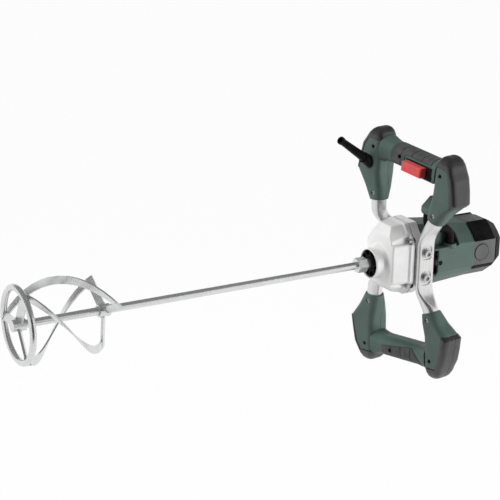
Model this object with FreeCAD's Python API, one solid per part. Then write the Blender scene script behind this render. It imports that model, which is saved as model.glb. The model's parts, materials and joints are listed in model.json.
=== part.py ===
import FreeCAD, Part
import math
import os

# Mixing drill with a helical paddle, in millimetres.
# The spindle axis is X: the paddle points to -X, the motor to +X. +Z is the switch handle's side.
# The origin is on the spindle axis, at the front end of the nose collar's clamping cylinder.

V = FreeCAD.Vector
X_AXIS = V(1, 0, 0)
Y_AXIS = V(0, 1, 0)
Z_AXIS = V(0, 0, 1)
NEAR, FAR = -1, 1
HALF_TURN = 180.0
FULL_TURN = 360.0

# Clearances shared by all pieces
OVERRUN = 1.0
RUNNING_FIT = 0.05
SEAT_FIT = 0.02
SLIDE_FIT = 0.3

# Gear pairs: spindle gear with countershaft pinion, countershaft gear with armature pinion
SPINDLE_GEAR_TEETH = 44
SECOND_PINION_TEETH = 10
SECOND_MODULE = 1.25
FIRST_GEAR_TEETH = 50
FIRST_PINION_TEETH = 9
FIRST_MODULE = 1.0
PRESSURE_ANGLE = 20.0
ADDENDUM_SHARE = 0.9
DEDENDUM_SHARE = 1.3
BACKLASH_SHARE = 0.25
ROOT_RELIEF_SHARE = 0.85
SECOND_CENTRES = SECOND_MODULE * (SPINDLE_GEAR_TEETH + SECOND_PINION_TEETH) / 2
FIRST_CENTRES = FIRST_MODULE * (FIRST_GEAR_TEETH + FIRST_PINION_TEETH) / 2
COUNTER_Z = SECOND_CENTRES
MOTOR_Z = SECOND_CENTRES - FIRST_CENTRES

# Gear cover: nose collar, octagonal casting that opens towards the seam
COLLAR_R = 25.0
COLLAR_LENGTH = 13.0
COLLAR_LIP = 1.2
MOUTH_R = 22.5
NOSE_BASE_R = 29.5
COVER_FRONT_X = 20.0
COVER_SHOULDER = 9.0
COVER_DEPTH = 39.0
SEAM_X = COVER_FRONT_X + COVER_DEPTH
COVER_HALF_WIDTH = 43.0
COVER_FRONT_HALF_WIDTH = 36.5
COVER_TOP = 65.0
COVER_SHOULDER_TOP = 62.5
COVER_FRONT_TOP = 48.0
COVER_BOTTOM = 52.0
COVER_SHOULDER_BOTTOM = 45.0
COVER_FRONT_BOTTOM = 37.0
SIDE_TOP = 35.0
SIDE_FRONT_TOP = 33.0
SIDE_BOTTOM = 27.0
CORNER_RUN_SHARE = 0.75
COVER_WALL = 4.5
COVER_FRONT_WALL = 5.0
COVER_EDGE = 2.5
LIP_DEPTH = 9.0
LIP_PROUD = 0.8

# Cover screws in their corner pockets
COVER_SCREW_R = 2.5
COVER_SCREW_HEAD_R = 4.3
COVER_SCREW_HEAD = 5.0
COVER_SCREW_Y = 36.0
COVER_SCREW_TOP_Z = 40.0
COVER_SCREW_BOTTOM_Z = 35.0
COVER_SCREW_REACH = 10.0
SCREW_POCKET = 5.0
SCREW_POCKET_WALL = 2.5

# Spindle and its bearings
SPINDLE_FACE_X = -8.0
SPINDLE_R = 10.0
SPINDLE_SHOULDER_R = 13.0
SPINDLE_REAR_R = 8.0
THREAD_R = 7.0
THREAD_DEPTH = 33.0
FRONT_BEARING_X = 8.0
FRONT_BEARING_R = 21.0
FRONT_BEARING_WIDTH = 12.0
NEEDLE_R = 12.0
SPINDLE_GEAR_X = 30.0
SPINDLE_GEAR_WIDTH = 13.0
SPINDLE_GEAR_WEB = 4.0
SPINDLE_GEAR_RIM = 5.0
SPINDLE_STEP = 2.0
BEARING_RACE_SHARE = 0.3
BEARING_GROOVE = 0.6
BEARING_BOSS_WALL = 3.0

# Black insert in the nose mouth
INSERT_DEPTH = 6.0
INSERT_WALL = 2.0
INSERT_RIBS = 8
INSERT_RIB = 2.4
INSERT_RIB_RISE = 4.0

# Countershaft
COUNTER_R = 4.0
COUNTER_BEARING_R = 11.0
COUNTER_BEARING_WIDTH = 7.0
COUNTER_FRONT_X = COVER_FRONT_X + COVER_FRONT_WALL / 2
FIRST_GEAR_X = 52.5
FIRST_GEAR_WIDTH = 7.5
PLATE_X = 45.0
PLATE_THICK = 6.0
PLATE_LEDGE = 2.0

# Gear case behind the seam, with the cheeks that carry the arms
GASKET = 1.0
CASE_X = SEAM_X + GASKET
CASE_DEPTH = 14.0
CASE_POCKET = 4.0
CASE_REAR_X = CASE_X + CASE_DEPTH
COUNTER_REAR_GAP = 2.0
COUNTER_REAR_X = CASE_X + CASE_POCKET + COUNTER_REAR_GAP
CHEEK_REAR_X = 95.0
CHEEK_THICK = 6.0
CHEEK_HALF_HEIGHT = 34.0
SEAL = 2.0

# Motor
ARMATURE_TIP_GAP = 0.5
ARMATURE_TIP_X = FIRST_GEAR_X - ARMATURE_TIP_GAP
ARMATURE_R = 5.0
ARMATURE_BEARING_R = 13.0
ARMATURE_BEARING_WIDTH = 8.0
FAN_X = 83.0
FAN_DEPTH = 11.0
FAN_R = 30.0
FAN_HUB_R = 10.0
FAN_DISC = 2.0
FAN_BLADES = 11
FAN_BLADE = 1.6
CORE_X = 110.0
CORE_LENGTH = 56.0
CORE_R = 19.0
CORE_SLOTS = 12
CORE_SLOT_WIDTH = 3.0
CORE_SLOT_DEPTH = 7.0
END_TURN = 8.0
END_TURN_R = 16.5
END_TURN_SHARE = 0.8
COMMUTATOR_X = 184.0
COMMUTATOR_LENGTH = 15.0
COMMUTATOR_R = 14.0
COMMUTATOR_BARS = 24
COMMUTATOR_GAP = 0.6
COMMUTATOR_GAP_DEPTH = 2.0
STATOR_R = 32.0
AIR_GAP = 1.0
COIL_DEPTH = 7.0
COIL_SPREAD = 44.0
COIL_OVERHANG = 6.0
REAR_BEARING_X = 203.0
BRUSH_X = COMMUTATOR_X + COMMUTATOR_LENGTH / 2
BRUSH_WIDTH = 8.0
BRUSH_HEIGHT = 6.0
BRUSH_LENGTH = 16.0
BRUSH_GAP = 0.2
HOLDER_WALL = 1.5
HOLDER_LENGTH = 20.0
HOLDER_START = 3.0

# Motor housing: faceted green shell
HOUSING_X = CASE_REAR_X + SEAL
HOUSING_REAR_X = 176.0
HOUSING_HALF_WIDTH = 46.0
HOUSING_TOP = 61.0
HOUSING_REAR_TOP = 49.5
HOUSING_BOTTOM = 47.0
HOUSING_REAR_BOTTOM = 40.0
HOUSING_TOP_HALF = 20.0
HOUSING_BOTTOM_HALF = 22.0
HOUSING_WALL = 3.0
HOUSING_EDGE = 1.5
LABEL_TOP = 25.0
LABEL_BOTTOM = 17.0
UPPER_BREAK_SHARE = 0.76
UPPER_RISE_SHARE = 0.5
LOWER_BREAK_SHARE = 0.82
LOWER_DROP_SHARE = 0.45
VENT_LENGTH = 9.0
VENT_TOP = 20.0
VENT_BOTTOM = 26.0
STATOR_SLEEVE_WALL = 3.0
NECK_R = 34.0
NECK_WALL = 3.0
NECK_PLATE = 11.0
PANEL_SCREW_X = 108.0
PANEL_SCREW_Z = -2.0
PANEL_SCREW_R = 4.0
PANEL_SCREW_DEPTH = 6.0
PANEL_SCREW_SINK = 2.5
PANEL_BOSS = 9.0
PANEL_SOCKET_R = 1.8
PANEL_SOCKET = 2.0

# Arched recess for the connecting hose
RECESS_REAR_X = 144.0
RECESS_FLOOR = 23.0
RECESS_INNER_Y = 30.0
RECESS_ARCH_R = 30.0

# Rear cap
CAP_LENGTH = 62.0
CAP_TAPER = 22.0
CAP_END_SHARE = 0.73
CAP_WALL = 3.0
CAP_REAR_X = HOUSING_REAR_X + CAP_LENGTH
BUMPER_RISE = 1.8
CAP_BUMPER_TOP_HALF = 20.5
CAP_BUMPER_LOW_Z = 24.0
CAP_BUMPER_STRIP_Z = -24.0
CAP_BUMPER_STRIP = 6.0
CAP_BUMPER_REAR = 15.0
BRUSH_CAP_R = 13.5
BRUSH_CAP_PROUD = 1.0
BRUSH_CAP_FLANGE = 3.0
BRUSH_CAP_GAP = 0.7
INLET_SLOTS = 5
INLET_SLOT = 4.0
INLET_PITCH = 8.0
INLET_HALF = 17.0

# Handle arms: round tubes pressed flat where they are bolted on
STRAP_X = 76.0
STRAP_THICK = 9.0
STRAP_WIDTH = 32.0
STRAP_HALF_HEIGHT = 33.0
STRAP_CORNER = 4.2
STRAP_DISH = 1.6
STRAP_DISH_WIDTH = 19.0
STRAP_DISH_CORNER = 6.0
STRAP_PAD = 10.0
ARM_R = 12.5
ARM_FLAT = 0.1
# place on the way to the handle, flatness and turn towards the handle's axis
ARM_BEND_SHARES = ((0.25, 0.92, 0.2), (0.5, 0.6, 0.5), (0.75, 0.2, 0.85))
ARM_BOLT_Z = 20.6
ARM_BOLT_R = 4.0
ARM_BOLT_HEAD_R = 6.5
ARM_BOLT_HEAD = 5.0
ARM_BOLT_SOCKET_R = 3.4
ARM_BOLT_SOCKET = 3.0
WASHER_R = 8.5
WASHER_THICK = 1.6

# Handles: a bar between two guards. Local axes: u front to rear, v near to far, w outwards
HANDLE_X = 82.5
HANDLE_Z = 163.0
HANDLE_SWING = 9.0
HANDLE_TILT = 6.0
GUARD_INNER = 60.0
GUARD_WIDTH = 45.0
GUARD_DEPTH = 45.0
GUARD_DROP = 83.0
GUARD_RISE = 30.5
# level, front, rear, inner edge, outer edge, corner: shares of the drop or rise, of half the depth twice,
# of the width twice and of half the least side
GUARD_SHARES = (
    (-0.77, 1.02, 0.50, -0.12, 0.74, 0.62),
    (-0.50, 1.00, 0.80, 0.02, 1.16, 0.42),
    (-0.25, 1.00, 0.84, 0.05, 1.08, 0.40),
    (0.00, 1.00, 0.84, 0.06, 0.98, 0.40),
    (0.35, 0.98, 0.82, 0.06, 0.84, 0.45),
    (0.64, 0.92, 0.77, 0.09, 0.75, 0.55),
    (0.84, 0.80, 0.67, 0.15, 0.65, 0.66),
    (0.96, 0.62, 0.52, 0.23, 0.55, 0.76),
    (1.00, 0.45, 0.38, 0.29, 0.48, 0.85),
)
BAR_DEPTH = 39.0
BAR_HEIGHT = 33.0
BAR_W = -1.0
BAR_ROOT = 4.0
# place along the bar, depth and height: shares of the guards' inner edge, depth and height
BAR_SHARES = ((0.66, 1.0, 1.0), (0.80, 1.02, 1.04), (0.92, 1.07, 1.16), (1.0, 1.12, 1.36))
BAR_CORNER_SHARE = 0.82
HANDLE_WALL = 5.5
ARM_SPLAY = {NEAR: 18.0, FAR: 9.0}
ARM_RUN = {NEAR: 1.0, FAR: 17.0}
SOCKET_DEPTH = 18.0
SOCKET_U = -8.5
SOCKET_V = 66.0
SOCKET_SHIFT = -3.5
SOCKET_SKEW = 4.2
FOOT_WALL = 2.1
FOOT_CORNER_SHARE = 0.9
RUBBER_SKIN = 2.5
RUBBER_PROUD = 0.8
BUMPER_LAP = 8.5
BUMPER_FOOT = -45.0
BUMPER_CROWN = 13.0
BUMPER_SEAM = 0.8
# outline of each grip's rubber along and across the bar: shares of the guards' inner edge and half the bar
TOP_GRIP_SHARES = ((0.62, 2.0), (0.62, -0.7), (0.15, -0.7), (0.09, 0.54), (-0.86, 0.54), (-0.86, 2.0))
BOTTOM_GRIP_SHARES = ((0.62, 2.0), (0.62, -0.2), (-0.52, -0.72), (-0.86, 0.5), (-0.86, 2.0))
GRIP_GROOVES = 3
GRIP_GROOVE = 1.2
GUARD_SCREW_W = 0.3
GUARD_SCREW_V = 76.5
BAR_SCREW_V = 17.5
BAR_SCREW_W = 2.0
HANDLE_SCREW_R = 1.8
HANDLE_SCREW_HEAD_R = 3.4
HANDLE_SCREW_HEAD = 3.0
HANDLE_SCREW_SINK = 3.0
HANDLE_SCREW_REACH = 9.0
SCREW_BOSS_R = 6.0
FOOT_SCREW_RISE = 11.5
FOOT_SCREW_SINK = 1.2
FOOT_SCREW_LENGTH = 20.0

# Switch, hood and trigger
HOOD_FRONT = -20.5
HOOD_REAR = 10.0
HOOD_NEAR = -63.0
HOOD_FAR = 6.0
HOOD_TOP = 8.0
HOOD_BOTTOM = -18.5
HOOD_EDGE = 4.0
HOOD_WALL = 3.0
SURROUND_PROUD = 1.0
SURROUND_WALL = 1.6
SURROUND_DEPTH = 10.0
SURROUND_NEAR = -57.0
TRIGGER_FRONT = -33.5
TRIGGER_DEPTH = 26.5
TRIGGER_NEAR = -44.0
TRIGGER_FAR = -0.5
TRIGGER_TOP = 3.4
TRIGGER_HEIGHT = 16.5
TRIGGER_EDGE = 2.5
TRIGGER_TRAVEL = 6.0
SPRING_ROOM = 2.0

# Cable sleeve on the far guard of the switch handle
SLEEVE_V = 82.0
SLEEVE_W = -27.0
SLEEVE_RISE = 34.0
SLEEVE_BASE_R = 9.0
SLEEVE_ROOT_R = 7.4
SLEEVE_TIP_R = 5.6
SLEEVE_FLARE_R = 6.6
SLEEVE_BORE_R = 4.0
SLEEVE_SEAT = 12.0
SLEEVE_COLLAR = 17.0
SLEEVE_TAPER = 62.0
SLEEVE_FLARE = 5.0

# Connecting hose from the near guard to the motor housing
HOSE_R = 7.0
HOSE_Y = -37.2
HOSE_START_X = 84.0
HOSE_START_Z = 92.0
HOSE_RUN_Z = 55.0
HOSE_END_X = 131.0
HOSE_BEND_R = 19.0
HOSE_SINK = 2.5
HOSE_COLLAR_R = 11.0
HOSE_COLLAR = 4.0
OUTLET_HALF = 10.5
OUTLET_TOP = 110.0
OUTLET_BOTTOM = 84.0
# level, way to the rear, size and corner: shares of the height, of half the width twice and of the size
OUTLET_SHARES = ((0.0, 0.0, 0.88, 0.9), (0.12, 0.0, 0.98, 0.85), (0.4, 0.1, 1.0, 0.8), (1.0, 0.9, 0.5, 0.7))

# Mixing paddle
PADDLE_REACH = 595.0
RING_R = 55.0
RING_WIRE_R = 5.0
ROD_R = 6.0
HEX_FLATS = 22.0
HEX_LENGTH = 17.0
HEX_CHAMFER = 2.0
STUD_LENGTH = 30.0
LOWER_HUB_R = 9.0
LOWER_HUB_LENGTH = 20.0
UPPER_HUB_R = 9.5
UPPER_HUB_LENGTH = 18.0
FLIGHTS = 3
FLIGHT_START_ANGLE = 117.0
FLIGHT_TWIST = 158.0
FLIGHT_LENGTH = 130.0
FLIGHT_WIDTH = 12.0
FLIGHT_THICK = 2.5
SPOKE_THICK = 3.5
FLIGHT_STATIONS = 15
FLIGHT_COPE = 1.2
SPOKE_PITCH = 30.0
RING_X = SPINDLE_FACE_X - PADDLE_REACH
UPPER_HUB_X = RING_X + RING_WIRE_R - FLIGHT_COPE + FLIGHT_LENGTH


# Basic shapes

def rod_x(start, end, radius, y=0, z=0):
    """Cylinder along X."""
    return Part.makeCylinder(radius, end - start, V(start, y, z), X_AXIS)


def ring_x(start, end, outer, inner, y=0, z=0):
    """Plain ring about an X axis."""
    return rod_x(start, end, outer, y, z).cut(rod_x(start - OVERRUN, end + OVERRUN, inner, y, z))


def block(low, high):
    """Box between two corners."""
    return Part.makeBox(high[0] - low[0], high[1] - low[1], high[2] - low[2], V(*low))


def polygon_x(points, x):
    """Closed polygon of (y, z) points in the plane at x."""
    corners = [V(x, y, z) for y, z in points]
    return Part.makePolygon(corners + corners[:1])


def loft_x(stations):
    """Faceted solid through polygons at several x."""
    return Part.makeLoft([polygon_x(points, x) for x, points in stations], True, True)


def prism_x(points, start, end):
    """Polygon of (y, z) points pushed along X."""
    return Part.Face(polygon_x(points, start)).extrude(X_AXIS * (end - start))


def revolve_x(profile, y=0, z=0):
    """Closed (x, radius) profile turned about an X axis."""
    corners = [V(x, y, z + radius) for x, radius in profile]
    face = Part.Face(Part.makePolygon(corners + corners[:1]))
    return face.revolve(V(0, y, z), X_AXIS, FULL_TURN)


def mirrored_half(points):
    """Polygon from its +Y half, given from bottom to top."""
    return points + [(-y, z) for y, z in reversed(points)]


def rounded_wire(centre, along, across, half_along, half_across, corner):
    """Rounded rectangle in the plane of two unit directions."""
    reach = ((1, 1), (-1, 1), (-1, -1), (1, -1))
    edges = []
    ends = []
    for a, b in reach:
        middle = centre + along * (a * (half_along - corner)) + across * (b * (half_across - corner))
        on_along = middle + along * (a * corner)
        on_across = middle + across * (b * corner)
        diagonal = middle + (along * a + across * b) * (corner / math.sqrt(2))
        first, last = (on_along, on_across) if a * b > 0 else (on_across, on_along)
        ends.append((first, last, Part.Arc(first, diagonal, last).toShape()))
    for index, (first, last, arc) in enumerate(ends):
        following = ends[(index + 1) % len(ends)][0]
        edges.append(arc)
        edges.append(Part.LineSegment(last, following).toShape())
    return Part.Wire(edges)


def fuse_all(shapes):
    """One solid from shapes that meet."""
    return shapes[0].multiFuse(shapes[1:]).removeSplitter()


# Gears with straight-flanked teeth on involute thickness

def involute(angle):
    return math.tan(angle) - angle


def gear_outline(teeth, module, tooth_at, y, z):
    """Polygon of a spur gear with a tooth centred at the angle tooth_at, in degrees."""
    pressure = math.radians(PRESSURE_ANGLE)
    pitch_r = module * teeth / 2
    base_r = pitch_r * math.cos(pressure)
    tip_r = pitch_r + ADDENDUM_SHARE * module
    root_r = pitch_r - DEDENDUM_SHARE * module
    at_pitch = (math.pi - BACKLASH_SHARE) / (2 * teeth) + involute(pressure)
    at_tip = at_pitch - involute(math.acos(base_r / tip_r))
    root_on = max(root_r, base_r)
    at_root = at_pitch - involute(math.acos(base_r / root_on))
    if root_r < base_r:
        at_root = at_root * ROOT_RELIEF_SHARE
    points = []
    for tooth in range(teeth):
        middle = math.radians(tooth_at + FULL_TURN * tooth / teeth)
        for radius, turn in ((root_r, -at_root), (tip_r, -at_tip), (tip_r, at_tip), (root_r, at_root)):
            points.append((y + radius * math.cos(middle + turn), z + radius * math.sin(middle + turn)))
    return points


# Gear cover

def cover_station(half_width, side_top, side_bottom, top, bottom):
    """Octagon of the gear casing, with corners at one fixed slope."""
    top_half = half_width - CORNER_RUN_SHARE * (top - side_top)
    bottom_half = half_width - CORNER_RUN_SHARE * (bottom - side_bottom)
    return mirrored_half([(bottom_half, -bottom), (half_width, -side_bottom),
                          (half_width, side_top), (top_half, top)])


def cover_outline(inset=0):
    """Octagon at the seam, drawn in by inset."""
    return cover_station(COVER_HALF_WIDTH - inset, SIDE_TOP - inset / 2, SIDE_BOTTOM - inset / 2,
                         COVER_TOP - inset, COVER_BOTTOM - inset)


def cover_loft(inset=0):
    """Casing from its front face to the seam."""
    shoulder_share = COVER_SHOULDER / COVER_DEPTH
    shoulder_half = (COVER_FRONT_HALF_WIDTH
                     + (COVER_HALF_WIDTH - COVER_FRONT_HALF_WIDTH) * shoulder_share)
    front = cover_station(COVER_FRONT_HALF_WIDTH - inset, SIDE_FRONT_TOP - inset / 2,
                          SIDE_BOTTOM - inset / 2, COVER_FRONT_TOP - inset, COVER_FRONT_BOTTOM - inset)
    shoulder_top = SIDE_FRONT_TOP + (SIDE_TOP - SIDE_FRONT_TOP) * shoulder_share
    shoulder = cover_station(shoulder_half - inset, shoulder_top - inset / 2, SIDE_BOTTOM - inset / 2,
                             COVER_SHOULDER_TOP - inset, COVER_SHOULDER_BOTTOM - inset)
    return loft_x([(COVER_FRONT_X, front), (COVER_FRONT_X + COVER_SHOULDER, shoulder),
                   (SEAM_X, cover_outline(inset))])


def cover_screw_places():
    """The four corners where the cover is screwed to the case."""
    return [(side * COVER_SCREW_Y, z) for side in (NEAR, FAR)
            for z in (COVER_SCREW_TOP_Z, -COVER_SCREW_BOTTOM_Z)]


def corner_blocks(start, end, margin):
    """Blocks that fill the four screw corners, margin inwards of the screws."""
    blocks = []
    for y, z in cover_screw_places():
        inner_y = y - math.copysign(margin, y)
        inner_z = z - math.copysign(margin, z)
        outer_y = math.copysign(COVER_HALF_WIDTH + LIP_DEPTH, y)
        outer_z = math.copysign(COVER_TOP + LIP_DEPTH, z)
        blocks.append(block((start, min(inner_y, outer_y), min(inner_z, outer_z)),
                            (end, max(inner_y, outer_y), max(inner_z, outer_z))))
    return blocks


def cover_cavity(start, end, inset):
    """Room for the gears, clear of the screw corners."""
    room = cover_loft(inset).common(
        block((start, -COVER_HALF_WIDTH, -COVER_BOTTOM), (end, COVER_HALF_WIDTH, COVER_TOP)))
    margin = SCREW_POCKET + SCREW_POCKET_WALL + inset - COVER_WALL
    for corner in corner_blocks(start - OVERRUN, end + OVERRUN, margin):
        room = room.cut(corner)
    return room


def gear_cover():
    """Die-cast cover with nose collar, bearing seats and corner pockets for its screws."""
    casting = cover_loft()
    casting = casting.makeFillet(COVER_EDGE, [edge for edge in casting.Edges
                                              if edge.BoundBox.XMax < SEAM_X - OVERRUN])
    lip = prism_x(cover_outline(-LIP_PROUD), SEAM_X - LIP_DEPTH, SEAM_X)
    inner_x = COVER_FRONT_X + COVER_FRONT_WALL
    nose = revolve_x([(-COLLAR_LIP, 0), (-COLLAR_LIP, COLLAR_R - COLLAR_LIP), (0, COLLAR_R),
                      (COLLAR_LENGTH, COLLAR_R), (COVER_FRONT_X, NOSE_BASE_R),
                      (inner_x, NOSE_BASE_R), (inner_x, 0)])
    cover = fuse_all([casting, lip, nose])
    cover = cover.cut(cover_cavity(inner_x, PLATE_X, COVER_WALL + PLATE_LEDGE))
    cover = cover.cut(cover_cavity(PLATE_X, SEAM_X, COVER_WALL))
    counter_boss = rod_x(COVER_FRONT_X + COVER_FRONT_WALL / 2, COUNTER_FRONT_X + COUNTER_BEARING_WIDTH,
                         COUNTER_BEARING_R + BEARING_BOSS_WALL, 0, COUNTER_Z)
    cover = fuse_all([cover, counter_boss])
    cover = cover.cut(rod_x(COUNTER_FRONT_X, PLATE_X, COUNTER_BEARING_R + SEAT_FIT, 0, COUNTER_Z))
    cover = cover.cut(rod_x(-COLLAR_LIP - OVERRUN, FRONT_BEARING_X, MOUTH_R))
    cover = cover.cut(rod_x(0, PLATE_X, FRONT_BEARING_R + SEAT_FIT))
    for corner in corner_blocks(0, SEAM_X - LIP_DEPTH / 2, SCREW_POCKET):
        cover = cover.cut(corner)
    for y, z in cover_screw_places():
        cover = cover.cut(rod_x(0, SEAM_X + OVERRUN, COVER_SCREW_R + SEAT_FIT, y, z))
    return cover


def cap_screw_x(seat, reach, shank_r, head_r, head, socket_r, socket, y, z):
    """Socket-head screw along X, its head on the -X side of seat."""
    screw = fuse_all([rod_x(seat - head, seat, head_r, y, z), rod_x(seat, seat + reach, shank_r, y, z)])
    return screw.cut(rod_x(seat - head - OVERRUN, seat - head + socket, socket_r, y, z))


def cover_screws():
    """Four socket-head screws that hold the cover on the case."""
    seat = SEAM_X - LIP_DEPTH / 2
    return Part.makeCompound([
        cap_screw_x(seat, LIP_DEPTH / 2 + GASKET + COVER_SCREW_REACH, COVER_SCREW_R, COVER_SCREW_HEAD_R,
                    COVER_SCREW_HEAD, COVER_SCREW_R, COVER_SCREW_HEAD / 2, y, z)
        for y, z in cover_screw_places()])


def bearing_plate():
    """Plate inside the cover that carries the rear end of the spindle."""
    plate = cover_cavity(PLATE_X, PLATE_X + PLATE_THICK, COVER_WALL + SEAT_FIT)
    plate = plate.cut(rod_x(0, SEAM_X, NEEDLE_R + SEAT_FIT))
    pinion_tip = SECOND_MODULE * (SECOND_PINION_TEETH / 2 + ADDENDUM_SHARE)
    return plate.cut(rod_x(0, SEAM_X, pinion_tip + OVERRUN, 0, COUNTER_Z))


def gear_gasket():
    """Flat black gasket in the seam between cover and case."""
    gasket = prism_x(cover_outline(), SEAM_X, CASE_X)
    gasket = gasket.cut(prism_x(cover_outline(COVER_WALL), SEAM_X - OVERRUN, CASE_X + OVERRUN))
    for y, z in cover_screw_places():
        gasket = gasket.fuse(rod_x(SEAM_X, CASE_X, SCREW_POCKET, y, z))
    for y, z in cover_screw_places():
        gasket = gasket.cut(rod_x(SEAM_X - OVERRUN, CASE_X + OVERRUN, COVER_SCREW_R + SEAT_FIT, y, z))
    return gasket.removeSplitter()


def gear_case():
    """Cast case with bearing seats and two cheeks that the arms are bolted to."""
    case = prism_x(cover_outline(-LIP_PROUD), CASE_X, CASE_REAR_X)
    pocket = prism_x(cover_outline(COVER_WALL), CASE_X - OVERRUN, CASE_X + CASE_POCKET)
    for corner in corner_blocks(CASE_X - OVERRUN, CASE_X + CASE_POCKET + OVERRUN,
                                SCREW_POCKET + SCREW_POCKET_WALL):
        pocket = pocket.cut(corner)
    case = case.cut(pocket)
    far_cheek = block((CASE_X, COVER_HALF_WIDTH - CHEEK_THICK, -CHEEK_HALF_HEIGHT),
                      (CHEEK_REAR_X, COVER_HALF_WIDTH, CHEEK_HALF_HEIGHT))
    case = fuse_all([case, far_cheek, far_cheek.mirror(V(0, 0, 0), Y_AXIS)])
    web = CASE_X + CASE_POCKET
    case = case.cut(rod_x(web - OVERRUN, COUNTER_REAR_X + COUNTER_BEARING_WIDTH,
                          COUNTER_BEARING_R + SEAT_FIT, 0, COUNTER_Z))
    case = case.cut(rod_x(web - OVERRUN, CASE_REAR_X + OVERRUN, ARMATURE_BEARING_R + SEAT_FIT, 0, MOTOR_Z))
    for side in (NEAR, FAR):
        face = side * COVER_HALF_WIDTH
        flat = block((STRAP_X - STRAP_WIDTH / 2 - OVERRUN, min(face, face + side * LIP_DEPTH), -COVER_TOP),
                     (CHEEK_REAR_X + OVERRUN, max(face, face + side * LIP_DEPTH), COVER_TOP))
        case = case.cut(flat)
        for z in (ARM_BOLT_Z, -ARM_BOLT_Z):
            start = V(STRAP_X, side * (COVER_HALF_WIDTH + LIP_DEPTH), z)
            case = case.cut(Part.makeCylinder(ARM_BOLT_R + SEAT_FIT, LIP_DEPTH + CHEEK_THICK + OVERRUN,
                                              start, Y_AXIS * -side))
    for y, z in cover_screw_places():
        case = case.cut(rod_x(CASE_X - OVERRUN, CASE_X + COVER_SCREW_REACH + OVERRUN,
                              COVER_SCREW_R + SEAT_FIT, y, z))
    return case


# Spindle line

def nose_insert():
    """Black ring in the nose mouth, with radial ribs, in front of the bearing."""
    bore_r = SPINDLE_R + OVERRUN
    start = FRONT_BEARING_X - INSERT_DEPTH
    ring = ring_x(FRONT_BEARING_X - INSERT_WALL, FRONT_BEARING_X, MOUTH_R - SEAT_FIT, bore_r)
    rim = ring_x(start, FRONT_BEARING_X, MOUTH_R - SEAT_FIT, MOUTH_R - INSERT_WALL)
    hub = ring_x(start, FRONT_BEARING_X, bore_r + INSERT_WALL, bore_r)
    parts = [ring, rim, hub]
    rib_start = FRONT_BEARING_X - INSERT_RIB_RISE - INSERT_WALL
    for index in range(INSERT_RIBS):
        rib = block((rib_start, bore_r + INSERT_WALL / 2, -INSERT_RIB / 2),
                    (FRONT_BEARING_X, MOUTH_R - INSERT_WALL / 2, INSERT_RIB / 2))
        rib.rotate(V(0, 0, 0), X_AXIS, FULL_TURN * index / INSERT_RIBS)
        parts.append(rib)
    return fuse_all(parts)


def spindle():
    """Output spindle with a female thread bore at its front."""
    gear_end = SPINDLE_GEAR_X + SPINDLE_GEAR_WIDTH
    seat_r = SPINDLE_SHOULDER_R - SPINDLE_STEP
    body = fuse_all([
        rod_x(SPINDLE_FACE_X, FRONT_BEARING_X + FRONT_BEARING_WIDTH, SPINDLE_R),
        rod_x(FRONT_BEARING_X + FRONT_BEARING_WIDTH, SPINDLE_GEAR_X, SPINDLE_SHOULDER_R),
        rod_x(SPINDLE_GEAR_X, gear_end, seat_r),
        rod_x(gear_end, PLATE_X + PLATE_THICK, SPINDLE_REAR_R)])
    return body.cut(rod_x(SPINDLE_FACE_X - OVERRUN, SPINDLE_FACE_X + THREAD_DEPTH, THREAD_R))


def spindle_gear():
    """Large spur gear pressed on the spindle, its web thinner than its rim."""
    end = SPINDLE_GEAR_X + SPINDLE_GEAR_WIDTH
    gear = prism_x(gear_outline(SPINDLE_GEAR_TEETH, SECOND_MODULE, HALF_TURN / 2, 0, 0), SPINDLE_GEAR_X, end)
    root_r = SECOND_MODULE * (SPINDLE_GEAR_TEETH / 2 - DEDENDUM_SHARE)
    web_side = (SPINDLE_GEAR_WIDTH - SPINDLE_GEAR_WEB) / 2
    dish_r = SPINDLE_SHOULDER_R + SPINDLE_STEP
    rim_r = root_r - SPINDLE_GEAR_RIM
    gear = gear.cut(ring_x(SPINDLE_GEAR_X - OVERRUN, SPINDLE_GEAR_X + web_side, rim_r, dish_r))
    gear = gear.cut(ring_x(end - web_side, end + OVERRUN, rim_r, dish_r))
    return gear.cut(rod_x(0, SEAM_X, SPINDLE_SHOULDER_R - SPINDLE_STEP + SEAT_FIT))


def bearing(start, width, outer, inner, z=0):
    """Closed bearing: outer and inner race with a sealed groove between them."""
    race = (outer - inner) * BEARING_RACE_SHARE
    ring = ring_x(start, start + width, outer, inner, 0, z)
    for edge in (start - OVERRUN, start + width - BEARING_GROOVE):
        ring = ring.cut(ring_x(edge, edge + BEARING_GROOVE + OVERRUN, outer - race, inner + race, 0, z))
    return ring


def countershaft():
    """Countershaft with its pinion cut in one piece."""
    start = COUNTER_FRONT_X
    end = COUNTER_REAR_X + COUNTER_BEARING_WIDTH
    pinion_end = PLATE_X + PLATE_THICK
    shaft = rod_x(start, end, COUNTER_R, 0, COUNTER_Z)
    tooth_at = -HALF_TURN / 2 + HALF_TURN / SECOND_PINION_TEETH
    pinion = prism_x(gear_outline(SECOND_PINION_TEETH, SECOND_MODULE, tooth_at, 0, COUNTER_Z),
                     SPINDLE_GEAR_X - SLIDE_FIT, pinion_end)
    return fuse_all([shaft, pinion])


def countershaft_gear():
    """First-stage gear pressed on the countershaft."""
    end = FIRST_GEAR_X + FIRST_GEAR_WIDTH
    tooth_at = -HALF_TURN / 2 + HALF_TURN / FIRST_GEAR_TEETH
    gear = prism_x(gear_outline(FIRST_GEAR_TEETH, FIRST_MODULE, tooth_at, 0, COUNTER_Z), FIRST_GEAR_X, end)
    return gear.cut(rod_x(0, CASE_REAR_X, COUNTER_R + SEAT_FIT, 0, COUNTER_Z))


def countershaft_bearings():
    """Front and rear bearing of the countershaft."""
    return Part.makeCompound([
        bearing(start, COUNTER_BEARING_WIDTH, COUNTER_BEARING_R, COUNTER_R + RUNNING_FIT, COUNTER_Z)
        for start in (COUNTER_FRONT_X, COUNTER_REAR_X)])


# Motor line

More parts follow.
